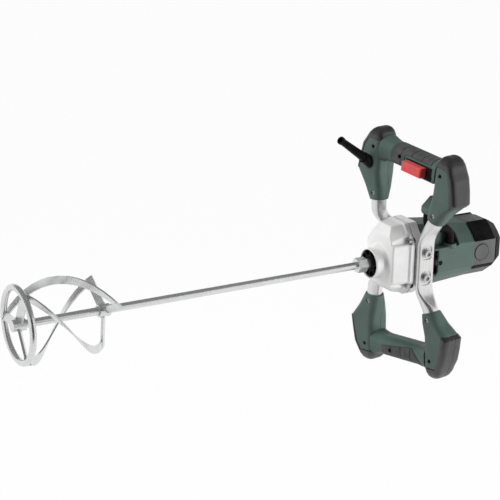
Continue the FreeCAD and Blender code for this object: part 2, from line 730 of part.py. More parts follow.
def armature_shaft():
    """Motor shaft with the first-stage pinion cut in its end."""
    pinion_end = FIRST_GEAR_X + FIRST_GEAR_WIDTH + OVERRUN
    pinion = prism_x(gear_outline(FIRST_PINION_TEETH, FIRST_MODULE, HALF_TURN / 2, 0, MOTOR_Z),
                     ARMATURE_TIP_X, pinion_end)
    shaft = rod_x(pinion_end, REAR_BEARING_X + ARMATURE_BEARING_WIDTH, ARMATURE_R, 0, MOTOR_Z)
    return fuse_all([pinion, shaft])


def armature_core():
    """Laminated core with winding slots."""
    core = rod_x(CORE_X, CORE_X + CORE_LENGTH, CORE_R, 0, MOTOR_Z)
    for index in range(CORE_SLOTS):
        slot = block((CORE_X - OVERRUN, -CORE_SLOT_WIDTH / 2, MOTOR_Z + CORE_R - CORE_SLOT_DEPTH),
                     (CORE_X + CORE_LENGTH + OVERRUN, CORE_SLOT_WIDTH / 2, MOTOR_Z + CORE_R + OVERRUN))
        slot.rotate(V(0, 0, MOTOR_Z), X_AXIS, FULL_TURN * index / CORE_SLOTS)
        core = core.cut(slot)
    return core.cut(rod_x(0, CAP_REAR_X, ARMATURE_R + SEAT_FIT, 0, MOTOR_Z))


def armature_windings():
    """Lacquered winding heads at both ends of the core."""
    heads = []
    for face, way in ((CORE_X, -1), (CORE_X + CORE_LENGTH, 1)):
        outer = face + way * END_TURN
        bore_r = ARMATURE_R + SEAT_FIT
        profile = [(face, bore_r), (face, END_TURN_R), (face + way * END_TURN / 2, END_TURN_R),
                   (outer, END_TURN_R * END_TURN_SHARE), (outer, bore_r)]
        heads.append(revolve_x(profile, 0, MOTOR_Z))
    return Part.makeCompound(heads)


def commutator():
    """Copper commutator with its bars parted by thin gaps."""
    end = COMMUTATOR_X + COMMUTATOR_LENGTH
    crown = MOTOR_Z + COMMUTATOR_R
    drum = ring_x(COMMUTATOR_X, end, COMMUTATOR_R, ARMATURE_R + SEAT_FIT, 0, MOTOR_Z)
    for index in range(COMMUTATOR_BARS):
        gap = block((COMMUTATOR_X - OVERRUN, -COMMUTATOR_GAP / 2, crown - COMMUTATOR_GAP_DEPTH),
                    (end + OVERRUN, COMMUTATOR_GAP / 2, crown + OVERRUN))
        gap.rotate(V(0, 0, MOTOR_Z), X_AXIS, FULL_TURN * index / COMMUTATOR_BARS)
        drum = drum.cut(gap)
    return drum


def cooling_fan():
    """Radial fan on the armature shaft."""
    parts = [rod_x(FAN_X, FAN_X + FAN_DEPTH, FAN_HUB_R, 0, MOTOR_Z),
             rod_x(FAN_X, FAN_X + FAN_DISC, FAN_R, 0, MOTOR_Z)]
    for index in range(FAN_BLADES):
        blade = block((FAN_X + FAN_DISC / 2, -FAN_BLADE / 2, MOTOR_Z + FAN_HUB_R - FAN_BLADE),
                      (FAN_X + FAN_DEPTH, FAN_BLADE / 2, MOTOR_Z + FAN_R - FAN_BLADE))
        blade.rotate(V(0, 0, MOTOR_Z), X_AXIS, FULL_TURN * index / FAN_BLADES)
        parts.append(blade)
    return fuse_all(parts).cut(rod_x(0, CAP_REAR_X, ARMATURE_R + SEAT_FIT, 0, MOTOR_Z))


def armature_bearings():
    """Front bearing in the case and rear bearing in the motor housing."""
    return Part.makeCompound([
        bearing(start, ARMATURE_BEARING_WIDTH, ARMATURE_BEARING_R, ARMATURE_R + RUNNING_FIT, MOTOR_Z)
        for start in (CASE_REAR_X - ARMATURE_BEARING_WIDTH, REAR_BEARING_X)])


def coil_sector(start, end, inner, outer, spread):
    """Piece of a ring about the motor axis, above it, as wide as spread in degrees to each side."""
    half = ring_x(start, end, outer, inner, 0, MOTOR_Z)
    reach_y = outer * 2 * math.sin(math.radians(spread))
    reach_z = MOTOR_Z + outer * 2 * math.cos(math.radians(spread))
    wedge = prism_x([(0, MOTOR_Z), (-reach_y, reach_z), (reach_y, reach_z)], start - OVERRUN, end + OVERRUN)
    return half.common(wedge)


def stator_coils(start, end, grow=0):
    """Room of the two field coils, above and below the armature."""
    inner = CORE_R + AIR_GAP + OVERRUN
    coils = []
    for turn in (0, HALF_TURN):
        coil = coil_sector(start, end, inner - grow, inner + COIL_DEPTH + grow, COIL_SPREAD + grow)
        coil.rotate(V(0, 0, MOTOR_Z), X_AXIS, turn)
        coils.append(coil)
    return coils


def stator():
    """Laminated field stack with room for its two coils."""
    stack = ring_x(CORE_X, CORE_X + CORE_LENGTH, STATOR_R, CORE_R + AIR_GAP, 0, MOTOR_Z)
    for room in stator_coils(CORE_X - OVERRUN, CORE_X + CORE_LENGTH + OVERRUN, SEAT_FIT):
        stack = stack.cut(room)
    return stack


def field_coils():
    """Two lacquered coils in the field stack."""
    return Part.makeCompound(stator_coils(CORE_X - COIL_OVERHANG, CORE_X + CORE_LENGTH + COIL_OVERHANG))


def brush_block(start, end, grow):
    """Box along the brushes' line on the far side, from start to end off the motor axis."""
    return block((BRUSH_X - BRUSH_WIDTH / 2 - grow, start, MOTOR_Z - BRUSH_HEIGHT / 2 - grow),
                 (BRUSH_X + BRUSH_WIDTH / 2 + grow, end, MOTOR_Z + BRUSH_HEIGHT / 2 + grow))


def on_both_sides(shape):
    """The shape and its mirror image on the near side."""
    return Part.makeCompound([shape, shape.mirror(V(0, 0, 0), Y_AXIS)])


def brush_holders():
    """Two brass boxes that guide the carbon brushes."""
    start = COMMUTATOR_R + HOLDER_START
    box = brush_block(start, start + HOLDER_LENGTH, HOLDER_WALL)
    room = brush_block(start - OVERRUN, start + HOLDER_LENGTH - HOLDER_WALL, SEAT_FIT)
    return on_both_sides(box.cut(room))


def carbon_brushes():
    """Two carbon brushes on the commutator."""
    brush = brush_block(0, COMMUTATOR_R + BRUSH_LENGTH, 0)
    return on_both_sides(brush.cut(rod_x(0, CAP_REAR_X, COMMUTATOR_R + BRUSH_GAP, 0, MOTOR_Z)))


# Motor housing and rear cap

def housing_station(top, bottom, grow=0):
    """Faceted section of the motor housing."""
    return mirrored_half([(HOUSING_BOTTOM_HALF + grow / 2, -bottom - grow),
                          (HOUSING_HALF_WIDTH * LOWER_BREAK_SHARE + grow,
                           -LABEL_BOTTOM - LOWER_DROP_SHARE * (bottom + grow - LABEL_BOTTOM)),
                          (HOUSING_HALF_WIDTH + grow, -LABEL_BOTTOM), (HOUSING_HALF_WIDTH + grow, LABEL_TOP),
                          (HOUSING_HALF_WIDTH * UPPER_BREAK_SHARE + grow,
                           LABEL_TOP + UPPER_RISE_SHARE * (top + grow - LABEL_TOP)),
                          (HOUSING_TOP_HALF + grow / 2, top + grow)])


def housing_loft(grow=0, margin=0):
    """Outer form of the motor housing, longer by margin at both ends."""
    return loft_x([(HOUSING_X - margin, housing_station(HOUSING_TOP, HOUSING_BOTTOM, grow)),
                   (HOUSING_REAR_X + margin, housing_station(HOUSING_REAR_TOP, HOUSING_REAR_BOTTOM, grow))])


def hose_recess(grow=0):
    """Arched room for the connecting hose in the upper near corner of the housing."""
    rear = RECESS_REAR_X - grow
    floor = RECESS_FLOOR + grow
    crown = HOUSING_TOP * 2
    arch_z = floor + RECESS_ARCH_R
    bend = V(rear - RECESS_ARCH_R * (1 - math.sqrt(0.5)), 0, arch_z + RECESS_ARCH_R * math.sqrt(0.5))
    corners = [V(0, 0, crown), V(0, 0, floor), V(rear, 0, floor), V(rear, 0, arch_z)]
    top = V(rear - RECESS_ARCH_R, 0, arch_z + RECESS_ARCH_R)
    edges = [Part.LineSegment(a, b).toShape() for a, b in zip(corners, corners[1:])]
    edges.append(Part.Arc(corners[-1], bend, top).toShape())
    last = V(top.x, 0, crown)
    edges += [Part.LineSegment(top, last).toShape(), Part.LineSegment(last, corners[0]).toShape()]
    face = Part.Face(Part.Wire(edges))
    face.translate(Y_AXIS * -(RECESS_INNER_Y + grow))
    return face.extrude(Y_AXIS * -HOUSING_HALF_WIDTH)


def cheek_room():
    """Space that the case's cheeks and the vents take from the housing's sides."""
    rooms = []
    inner = COVER_HALF_WIDTH - CHEEK_THICK - SLIDE_FIT
    for side in (NEAR, FAR):
        outer = side * HOUSING_HALF_WIDTH * 2
        half_height = CHEEK_HALF_HEIGHT + SLIDE_FIT
        rooms.append(block((0, min(side * inner, outer), -half_height),
                           (CHEEK_REAR_X + SLIDE_FIT, max(side * inner, outer), half_height)))
        vent_inner = side * (HOUSING_HALF_WIDTH - HOUSING_WALL * 2)
        rooms.append(block((CHEEK_REAR_X, min(vent_inner, outer), -VENT_BOTTOM),
                           (CHEEK_REAR_X + VENT_LENGTH, max(vent_inner, outer), VENT_TOP)))
    return rooms


def motor_housing():
    """Green shell with stator sleeve, vents, hose recess and the neck that carries the rear bearing."""
    outer = housing_loft()
    outer = outer.makeFillet(HOUSING_EDGE, [edge for edge in outer.Edges
                                            if edge.BoundBox.XLength > HOUSING_WALL])
    shell = outer.cut(housing_loft(-HOUSING_WALL, OVERRUN))
    floor = outer.common(hose_recess(-HOUSING_WALL)).cut(hose_recess())
    shell = shell.cut(hose_recess())
    sleeve = ring_x(CORE_X, HOUSING_REAR_X, STATOR_R + STATOR_SLEEVE_WALL, STATOR_R + SEAT_FIT, 0, MOTOR_Z)
    rear_web = prism_x(housing_station(HOUSING_REAR_TOP, HOUSING_REAR_BOTTOM, -HOUSING_WALL / 2),
                       HOUSING_REAR_X - HOUSING_WALL, HOUSING_REAR_X)
    neck = rod_x(HOUSING_REAR_X - HOUSING_WALL, REAR_BEARING_X + NECK_PLATE, NECK_R, 0, MOTOR_Z)
    shell = fuse_all([shell, floor, sleeve.common(outer), rear_web, neck])
    shell = shell.cut(rod_x(HOUSING_REAR_X - HOUSING_WALL - OVERRUN, REAR_BEARING_X - NECK_WALL,
                            NECK_R - NECK_WALL, 0, MOTOR_Z))
    shell = shell.cut(rod_x(REAR_BEARING_X - NECK_WALL - OVERRUN, REAR_BEARING_X + ARMATURE_BEARING_WIDTH,
                            ARMATURE_BEARING_R + SEAT_FIT, 0, MOTOR_Z))
    for room in cheek_room():
        shell = shell.cut(room)
    holder = brush_block(0, HOUSING_HALF_WIDTH, HOLDER_WALL + SEAT_FIT)
    shell = shell.cut(holder).cut(holder.mirror(V(0, 0, 0), Y_AXIS))
    collar = Part.makeCylinder(HOSE_COLLAR_R, HOSE_COLLAR + HOUSING_WALL,
                               V(HOSE_END_X, HOSE_Y, RECESS_FLOOR - HOUSING_WALL))
    shell = fuse_all([shell, collar])
    shell = shell.cut(Part.makeCylinder(HOSE_R + SEAT_FIT, HOSE_SINK + HOSE_COLLAR + OVERRUN,
                                        V(HOSE_END_X, HOSE_Y, RECESS_FLOOR - HOSE_SINK)))
    shell = shell.cut(rod_x(CORE_X, CORE_X + CORE_LENGTH, STATOR_R + SEAT_FIT, 0, MOTOR_Z))
    for side in (NEAR, FAR):
        boss = panel_screw_rod(side, PANEL_SCREW_R + HOUSING_WALL, HOUSING_WALL / 2, PANEL_BOSS)
        shell = fuse_all([shell, boss])
        shell = shell.cut(panel_screw_rod(side, PANEL_SCREW_R + SEAT_FIT, -OVERRUN, PANEL_SCREW_DEPTH))
    return shell


def panel_screw_rod(side, radius, start, end):
    """Cylinder on a panel screw's line, from one depth under the housing's face to another."""
    outer = V(PANEL_SCREW_X, side * (HOUSING_HALF_WIDTH - start), PANEL_SCREW_Z)
    return Part.makeCylinder(radius, end - start, outer, Y_AXIS * -side)


def panel_screws():
    """Sunk screws in the sides of the motor housing."""
    screws = []
    for side in (NEAR, FAR):
        screw = panel_screw_rod(side, PANEL_SCREW_R, PANEL_SCREW_SINK, PANEL_SCREW_DEPTH)
        socket = panel_screw_rod(side, PANEL_SOCKET_R, PANEL_SCREW_SINK - OVERRUN,
                                 PANEL_SCREW_SINK + PANEL_SOCKET)
        screws.append(screw.cut(socket))
    return Part.makeCompound(screws)


def motor_seal():
    """Black seal between the case and the motor housing."""
    outer = prism_x(housing_station(HOUSING_TOP, HOUSING_BOTTOM, -HOUSING_WALL / 2), CASE_REAR_X, HOUSING_X)
    inner = prism_x(housing_station(HOUSING_TOP, HOUSING_BOTTOM, -HOUSING_WALL * 2),
                    CASE_REAR_X - OVERRUN, HOUSING_X + OVERRUN)
    seal = outer.cut(inner)
    for room in cheek_room():
        seal = seal.cut(room)
    return seal.cut(hose_recess())


def cap_loft(grow=0):
    """Outer form of the rear cap."""
    middle_x = CAP_REAR_X - CAP_TAPER
    front = housing_station(HOUSING_REAR_TOP, HOUSING_REAR_BOTTOM, grow)
    end = [(y * CAP_END_SHARE, MOTOR_Z + (z - MOTOR_Z) * CAP_END_SHARE) for y, z in front]
    return loft_x([(HOUSING_REAR_X, front), (middle_x, front), (CAP_REAR_X + min(grow, 0), end)])


def brush_cap_bore(radius):
    """Cylinder across the cap on the brushes' line."""
    start = V(BRUSH_X, -HOUSING_HALF_WIDTH * 2, MOTOR_Z)
    return Part.makeCylinder(radius, HOUSING_HALF_WIDTH * 4, start, Y_AXIS)


def rear_cap():
    """Grey cap over the commutator end, with air inlets in its rear wall."""
    inside = block((HOUSING_REAR_X - OVERRUN, -HOUSING_HALF_WIDTH, -HOUSING_TOP),
                   (CAP_REAR_X - CAP_WALL, HOUSING_HALF_WIDTH, HOUSING_TOP))
    cap = cap_loft().cut(cap_loft(-CAP_WALL).common(inside))
    cap = cap.cut(brush_cap_bore(BRUSH_CAP_R + BRUSH_CAP_GAP))
    for index in range(INLET_SLOTS):
        z = MOTOR_Z + INLET_PITCH * (index - (INLET_SLOTS - 1) / 2)
        cap = cap.cut(block((CAP_REAR_X - CAP_WALL * 2, -INLET_HALF, z - INLET_SLOT / 2),
                            (CAP_REAR_X + OVERRUN, INLET_HALF, z + INLET_SLOT / 2)))
    return cap


def cap_bumper():
    """Black rubber on the corners and the rear edge of the cap."""
    skin = cap_loft(BUMPER_RISE).cut(cap_loft())
    zones = []
    reach = HOUSING_HALF_WIDTH * 2
    for side in (NEAR, FAR):
        inner = side * CAP_BUMPER_TOP_HALF
        low_y, high_y = min(inner, side * reach), max(inner, side * reach)
        zones.append(block((0, low_y, CAP_BUMPER_LOW_Z), (CAP_REAR_X, high_y, reach)))
        strip_top = CAP_BUMPER_STRIP_Z + CAP_BUMPER_STRIP
        zones.append(block((0, low_y, CAP_BUMPER_STRIP_Z), (CAP_REAR_X, high_y, strip_top)))
    zones.append(block((CAP_REAR_X - CAP_BUMPER_REAR, -reach, -reach), (CAP_REAR_X, reach, reach)))
    return skin.common(fuse_all(zones)).removeSplitter()


def brush_caps():
    """Round caps over the brush holders."""
    outer_y = HOUSING_HALF_WIDTH + BRUSH_CAP_PROUD
    start = outer_y - BRUSH_CAP_FLANGE - CAP_WALL
    plug = Part.makeCylinder(BRUSH_CAP_R, outer_y - start, V(BRUSH_X, start, MOTOR_Z), Y_AXIS)
    flange = Part.makeCylinder(BRUSH_CAP_R + BRUSH_CAP_GAP * 2, HOUSING_HALF_WIDTH - CAP_WALL - start,
                               V(BRUSH_X, start, MOTOR_Z), Y_AXIS)
    cap = fuse_all([plug, flange])
    return on_both_sides(cap)


# Handle frame, swung about Z and tilted about its own u axis

HANDLE_TURN = FreeCAD.Rotation(Z_AXIS, HANDLE_SWING).multiply(FreeCAD.Rotation(X_AXIS, HANDLE_TILT))
HANDLE_FRAME = FreeCAD.Placement(V(HANDLE_X, 0, HANDLE_Z), HANDLE_TURN)


def moved(shape, frame):
    """A copy of the shape carried by a frame."""
    copy = shape.copy()
    copy.Placement = frame.multiply(copy.Placement)
    return copy


def lower(shape):
    """Mirror image of an upper shape on the bottom side."""
    return shape.mirror(V(0, 0, 0), Z_AXIS)


# Arms

def arm_section(centre, normal, flat):
    """Cross-section of an arm: a strap where flat is one, round where it is zero."""
    across = normal.cross(X_AXIS).normalize()
    along = across.cross(normal).normalize()
    round_share = 1 - flat
    half_along = STRAP_WIDTH / 2 * flat + ARM_R * round_share
    half_across = STRAP_THICK / 2 * flat + ARM_R * round_share
    corner = STRAP_CORNER * flat + (ARM_R - ARM_FLAT) * round_share
    return rounded_wire(centre, along, across, half_along, half_across, corner)


def arm_axis(side):
    """Direction of an arm where it enters its guard, in the handle's frame."""
    splay = math.radians(ARM_SPLAY[side])
    return V(0, side * math.sin(splay), math.cos(splay))


def arm_foot(side):
    """Middle of an arm where it enters its guard, in the handle's frame."""
    return V(SOCKET_U, side * SOCKET_V + SOCKET_SHIFT, -GUARD_DROP - side * SOCKET_SKEW)


def arm_half(side):
    """Upper half of an arm: from the bolted strap to the plug in the handle's guard."""
    strap = V(STRAP_X, side * (COVER_HALF_WIDTH + STRAP_THICK / 2), STRAP_HALF_HEIGHT)
    outwards = HANDLE_TURN.multVec(arm_axis(side))
    foot = HANDLE_FRAME.multVec(arm_foot(side))
    elbow = foot - outwards * ARM_RUN[side]
    way = elbow.distanceToPoint(strap)
    wires = [arm_section(strap, Z_AXIS, 1)]
    for share, flat, turn in ARM_BEND_SHARES:
        start_share = (1 + 2 * share) * (1 - share) ** 2
        start_pull = share * (1 - share) ** 2 * way
        end_pull = share ** 2 * (share - 1) * way
        centre = strap * start_share + elbow * (1 - start_share) + Z_AXIS * start_pull + outwards * end_pull
        normal = (Z_AXIS * (1 - turn) + outwards * turn).normalize()
        wires.append(arm_section(centre, normal, flat))
    wires.append(arm_section(elbow, outwards, 0))
    bend = Part.makeLoft(wires, True, False)
    flat_part = Part.Face(arm_section(V(strap.x, strap.y, 0), Z_AXIS, 1)).extrude(Z_AXIS * STRAP_HALF_HEIGHT)
    run = Part.Face(arm_section(elbow, outwards, 0)).extrude(outwards * ARM_RUN[side])
    plug = Part.makeCylinder(ARM_R, SOCKET_DEPTH, foot, outwards)
    half = fuse_all([flat_part, bend, run, plug])
    for seat in foot_screw_places():
        half = half.cut(moved(screw_room(seat, seat.x + FOOT_SCREW_LENGTH), HANDLE_FRAME))
    return half


def arm(side):
    """One arm, bolted to the case and plugged into both handles."""
    half = arm_half(side)
    body = fuse_all([half, lower(half)])
    face = side * (COVER_HALF_WIDTH + STRAP_THICK)
    for way in (1, -1):
        middle = V(STRAP_X, face - side * STRAP_DISH, way * (STRAP_HALF_HEIGHT + STRAP_PAD) / 2)
        dish = rounded_wire(middle, X_AXIS, Z_AXIS, STRAP_DISH_WIDTH / 2,
                            (STRAP_HALF_HEIGHT - STRAP_PAD) / 2, STRAP_DISH_CORNER)
        body = body.cut(Part.Face(dish).extrude(Y_AXIS * (side * STRAP_THICK)))
        body = body.cut(Part.makeCylinder(ARM_BOLT_R + SEAT_FIT, STRAP_THICK + OVERRUN,
                                          V(STRAP_X, face, way * ARM_BOLT_Z), Y_AXIS * -side))
    return body


def arm_bolt_seats():
    """Bolt places on the dished straps, each with its side."""
    face = COVER_HALF_WIDTH + STRAP_THICK - STRAP_DISH
    return [(side, V(STRAP_X, side * face, z)) for side in (NEAR, FAR) for z in (ARM_BOLT_Z, -ARM_BOLT_Z)]


def arm_washers():
    """Four washers on the straps."""
    washers = []
    for side, seat in arm_bolt_seats():
        disc = Part.makeCylinder(WASHER_R, WASHER_THICK, seat, Y_AXIS * side)
        washers.append(disc.cut(Part.makeCylinder(ARM_BOLT_R + SEAT_FIT, WASHER_THICK, seat, Y_AXIS * side)))
    return Part.makeCompound(washers)


def arm_bolts():
    """Four socket-head bolts through the straps into the cheeks."""
    bolts = []
    reach = WASHER_THICK + STRAP_THICK - STRAP_DISH + CHEEK_THICK
    for side, seat in arm_bolt_seats():
        under_head = seat + Y_AXIS * (side * WASHER_THICK)
        head = Part.makeCylinder(ARM_BOLT_HEAD_R, ARM_BOLT_HEAD, under_head, Y_AXIS * side)
        shank = Part.makeCylinder(ARM_BOLT_R, reach, under_head, Y_AXIS * -side)
        top = under_head + Y_AXIS * (side * ARM_BOLT_HEAD)
        socket = Part.makeCylinder(ARM_BOLT_SOCKET_R, ARM_BOLT_SOCKET, top, Y_AXIS * -side)
        bolts.append(fuse_all([head, shank]).cut(socket))
    return Part.makeCompound(bolts)


# Handles

def guard_levels(side, inset=0):
    """Heights of a guard's sections with their shares; below the bar they lead to the arm's foot."""
    drop = -arm_foot(side).z
    return [(row[0] * (GUARD_RISE - inset if row[0] > 0 else drop), row) for row in GUARD_SHARES]


def guard(side, inset=0):
    """Guard at one end of the bar, its surface drawn in by inset."""
    axis = arm_axis(side)
    half = ARM_R + FOOT_WALL - inset
    wires = [rounded_wire(arm_foot(side), X_AXIS, axis.cross(X_AXIS), half, half, half * FOOT_CORNER_SHARE)]
    for w, (level, front, rear, inner, outer, corner) in guard_levels(side, inset):
        half_u = (front + rear) * GUARD_DEPTH / 4
        half_v = (outer - inner) * GUARD_WIDTH / 2
        radius = corner * min(half_u, half_v) - inset
        middle_v = GUARD_INNER + (inner + outer) * GUARD_WIDTH / 2
        shift = SOCKET_SHIFT * -min(level, 0)
        middle = V((rear - front) * GUARD_DEPTH / 4, side * middle_v + shift, w)
        wires.append(rounded_wire(middle, X_AXIS, Y_AXIS, half_u - inset, half_v - inset,
                                  max(radius, OVERRUN)))
    return Part.makeLoft(wires, True, True)


def guard_front(side, w):
    """Place of the guard's front face at the height w."""
    foot = arm_foot(side)
    levels = [(foot.z, foot.x - ARM_R - FOOT_WALL)]
    levels += [(height, -row[1] * GUARD_DEPTH / 2) for height, row in guard_levels(side)]
    for (low, low_front), (high, high_front) in zip(levels, levels[1:]):
        if low <= w <= high:
            return low_front + (high_front - low_front) * (w - low) / (high - low)
    return levels[-1][1]


def bar(inset=0):
    """Grip bar between the guards, its surface drawn in by inset."""
    places = [(-share, depth, height) for share, depth, height in reversed(BAR_SHARES)] + list(BAR_SHARES)
    wires = []
    for share, depth, height in places:
        half_u = depth * BAR_DEPTH / 2
        half_w = height * BAR_HEIGHT / 2
        corner = BAR_CORNER_SHARE * min(half_u, half_w)
        v = share * GUARD_INNER + (math.copysign(BAR_ROOT, share) if abs(share) == 1 else 0)
        wires.append(rounded_wire(V(0, v, BAR_W), X_AXIS, Z_AXIS,
                                  half_u - inset, half_w - inset, corner - inset))
    return Part.makeLoft(wires, True, True)


def bumper_zone(side):
    """Space of a guard's rubber: a lap inwards of its outer edge, and its crown."""
    reach = GUARD_INNER + GUARD_WIDTH * 2
    top = GUARD_RISE * 2
    edge = [(GUARD_INNER + row[4] * GUARD_WIDTH - BUMPER_LAP, w) for w, row in guard_levels(side)
            if BUMPER_FOOT < w < BUMPER_CROWN]
    outline = [(reach, BUMPER_FOOT), (edge[0][0], BUMPER_FOOT)] + edge
    outline += [(edge[-1][0], BUMPER_CROWN), (0, BUMPER_CROWN), (0, top), (reach, top)]
    space = prism_x([(side * v, w) for v, w in outline], -GUARD_DEPTH, GUARD_DEPTH)
    return space.cut(guard(side, RUBBER_SKIN)).cut(bar())


def bumper(side):
    """Rubber over a guard's outer edge and crown, with a groove where the two shells meet."""
    rubber = guard(side, -RUBBER_PROUD).common(bumper_zone(side))
    groove = block((-BUMPER_SEAM / 2, -GUARD_INNER * 3, -GUARD_DROP),
                   (BUMPER_SEAM / 2, GUARD_INNER * 3, GUARD_RISE * 2))
    return rubber.cut(groove.cut(guard(side)))


def grip_zone(shares):
    """Space of a grip's rubber around the bar, inside an outline given in shares."""
    outline = [(v * GUARD_INNER, w * BAR_HEIGHT / 2) for v, w in shares]
    return prism_x(outline, -BAR_DEPTH, BAR_DEPTH).cut(bar(RUBBER_SKIN))


def grip(shares):
    """Rubber grip on the bar with grooves across it."""
    rubber = bar(-RUBBER_PROUD).common(grip_zone(shares))
    ends = [v * GUARD_INNER for v, w in shares]
    near, far = min(ends), max(ends)
    for index in range(GRIP_GROOVES):
        v = near + (far - near) * (index + 1) / (GRIP_GROOVES + 1)
        groove = block((-BAR_DEPTH, v - GRIP_GROOVE / 2, -BAR_HEIGHT),
                       (BAR_DEPTH, v + GRIP_GROOVE / 2, BAR_HEIGHT))
        rubber = rubber.cut(groove.cut(bar()))
    seat = handle_screw_places()[-1]
    return rubber.cut(Part.makeCylinder(HANDLE_SCREW_HEAD_R + SLIDE_FIT, BAR_DEPTH,
                                        seat - X_AXIS * BAR_DEPTH, X_AXIS))


def handle_screw_places():
    """Seats of a handle's screws under their heads, in the handle's frame; the bar's screw is the last."""
    depth = HANDLE_SCREW_SINK + HANDLE_SCREW_HEAD
    places = [V(guard_front(side, GUARD_SCREW_W) + depth, side * GUARD_SCREW_V, GUARD_SCREW_W)
              for side in (NEAR, FAR)]
    return places + [V(depth - BAR_DEPTH / 2, BAR_SCREW_V, BAR_SCREW_W)]


def foot_screw_places():
    """Seats of the screws that hold the arms in their guards, in the handle's frame."""
    places = []
    for side in (NEAR, FAR):
        on_axis = arm_foot(side) + arm_axis(side) * FOOT_SCREW_RISE
        front = guard_front(side, on_axis.z)
        places.append(V(front + FOOT_SCREW_SINK + HANDLE_SCREW_HEAD, on_axis.y, on_axis.z))
    return places


def hood():
    """Thicker middle of the switch handle, around the trigger."""
    body = block((HOOD_FRONT, HOOD_NEAR, HOOD_BOTTOM), (HOOD_REAR, HOOD_FAR, HOOD_TOP))
    return body.makeFillet(HOOD_EDGE, body.Edges)


def trigger_box(front, rear, grow):
    """Box along the trigger's way, larger by grow on its four sides."""
    return block((front, TRIGGER_NEAR - grow, TRIGGER_TOP - TRIGGER_HEIGHT - grow),
                 (rear, TRIGGER_FAR + grow, TRIGGER_TOP + grow))


def surround_box(front, grow):
    """Box of the trigger's surround, larger by grow on its four sides."""
    wall = SLIDE_FIT + SURROUND_WALL + grow
    return block((front, SURROUND_NEAR - grow, TRIGGER_TOP - TRIGGER_HEIGHT - wall),
                 (HOOD_FRONT + SURROUND_DEPTH + grow, TRIGGER_FAR + wall, TRIGGER_TOP + wall))


def switch_surround():
    """Black frame in the hood that guides the trigger."""
    frame = surround_box(HOOD_FRONT - SURROUND_PROUD, 0)
    return frame.cut(trigger_box(TRIGGER_FRONT, HOOD_REAR, SLIDE_FIT))


def trigger():
    """Red push trigger."""
    body = trigger_box(TRIGGER_FRONT, TRIGGER_FRONT + TRIGGER_DEPTH, 0)
    front_edges = [edge for edge in body.Edges if edge.BoundBox.XMax < TRIGGER_FRONT + TRIGGER_EDGE]
    return body.makeFillet(TRIGGER_EDGE, front_edges)


def switch_module():
    """Switch block behind the trigger."""
    front = TRIGGER_FRONT + TRIGGER_DEPTH + TRIGGER_TRAVEL + SPRING_ROOM
    return trigger_box(front, HOOD_REAR - HOOD_WALL, SLIDE_FIT - SEAT_FIT)


def outlet():
    """Lobe on the near guard where the connecting hose comes out, in the handle's frame."""
    wires = []
    for level, way, size, corner in OUTLET_SHARES:
        half = size * OUTLET_HALF
        z = OUTLET_BOTTOM + level * (OUTLET_TOP - OUTLET_BOTTOM)
        middle = V(HOSE_START_X + way * OUTLET_HALF, HOSE_Y + half / 2 - OUTLET_HALF, z)
        wires.append(rounded_wire(middle, X_AXIS, Y_AXIS, half, half / 2 + OUTLET_HALF, corner * half))
    return moved(Part.makeLoft(wires, True, True), HANDLE_FRAME.inverse())


def outlet_bore():
    """Bore for the hose's upper end, in the handle's frame."""
    bore = Part.makeCylinder(HOSE_R + SEAT_FIT, HOSE_START_Z - OUTLET_BOTTOM + OVERRUN,
                             V(HOSE_START_X, HOSE_Y, OUTLET_BOTTOM - OVERRUN), Z_AXIS)
    return moved(bore, HANDLE_FRAME.inverse())


def sleeve_axis():
    """Start of the cable sleeve inside the guard and its direction, in the handle's frame."""
    rise = math.radians(SLEEVE_RISE)
    way = V(-math.cos(rise), 0, math.sin(rise))
    return V(guard_front(FAR, SLEEVE_W), SLEEVE_V, SLEEVE_W) - way * SLEEVE_SEAT, way


def cable_sleeve():
    """Bend-protection sleeve for the mains cable."""
    lengths = (0, SLEEVE_SEAT + SLEEVE_COLLAR, SLEEVE_TAPER, SLEEVE_FLARE)
    stops = [sum(lengths[:count + 1]) for count in range(len(lengths))]
    profile = [(stops[0], SLEEVE_BORE_R), (stops[0], SLEEVE_BASE_R), (stops[1], SLEEVE_BASE_R),
               (stops[1], SLEEVE_ROOT_R), (stops[2], SLEEVE_TIP_R), (stops[2], SLEEVE_FLARE_R),
               (stops[3], SLEEVE_FLARE_R), (stops[3], SLEEVE_BORE_R)]
    start, way = sleeve_axis()
    return moved(revolve_x(profile), FreeCAD.Placement(start, FreeCAD.Rotation(X_AXIS, way)))


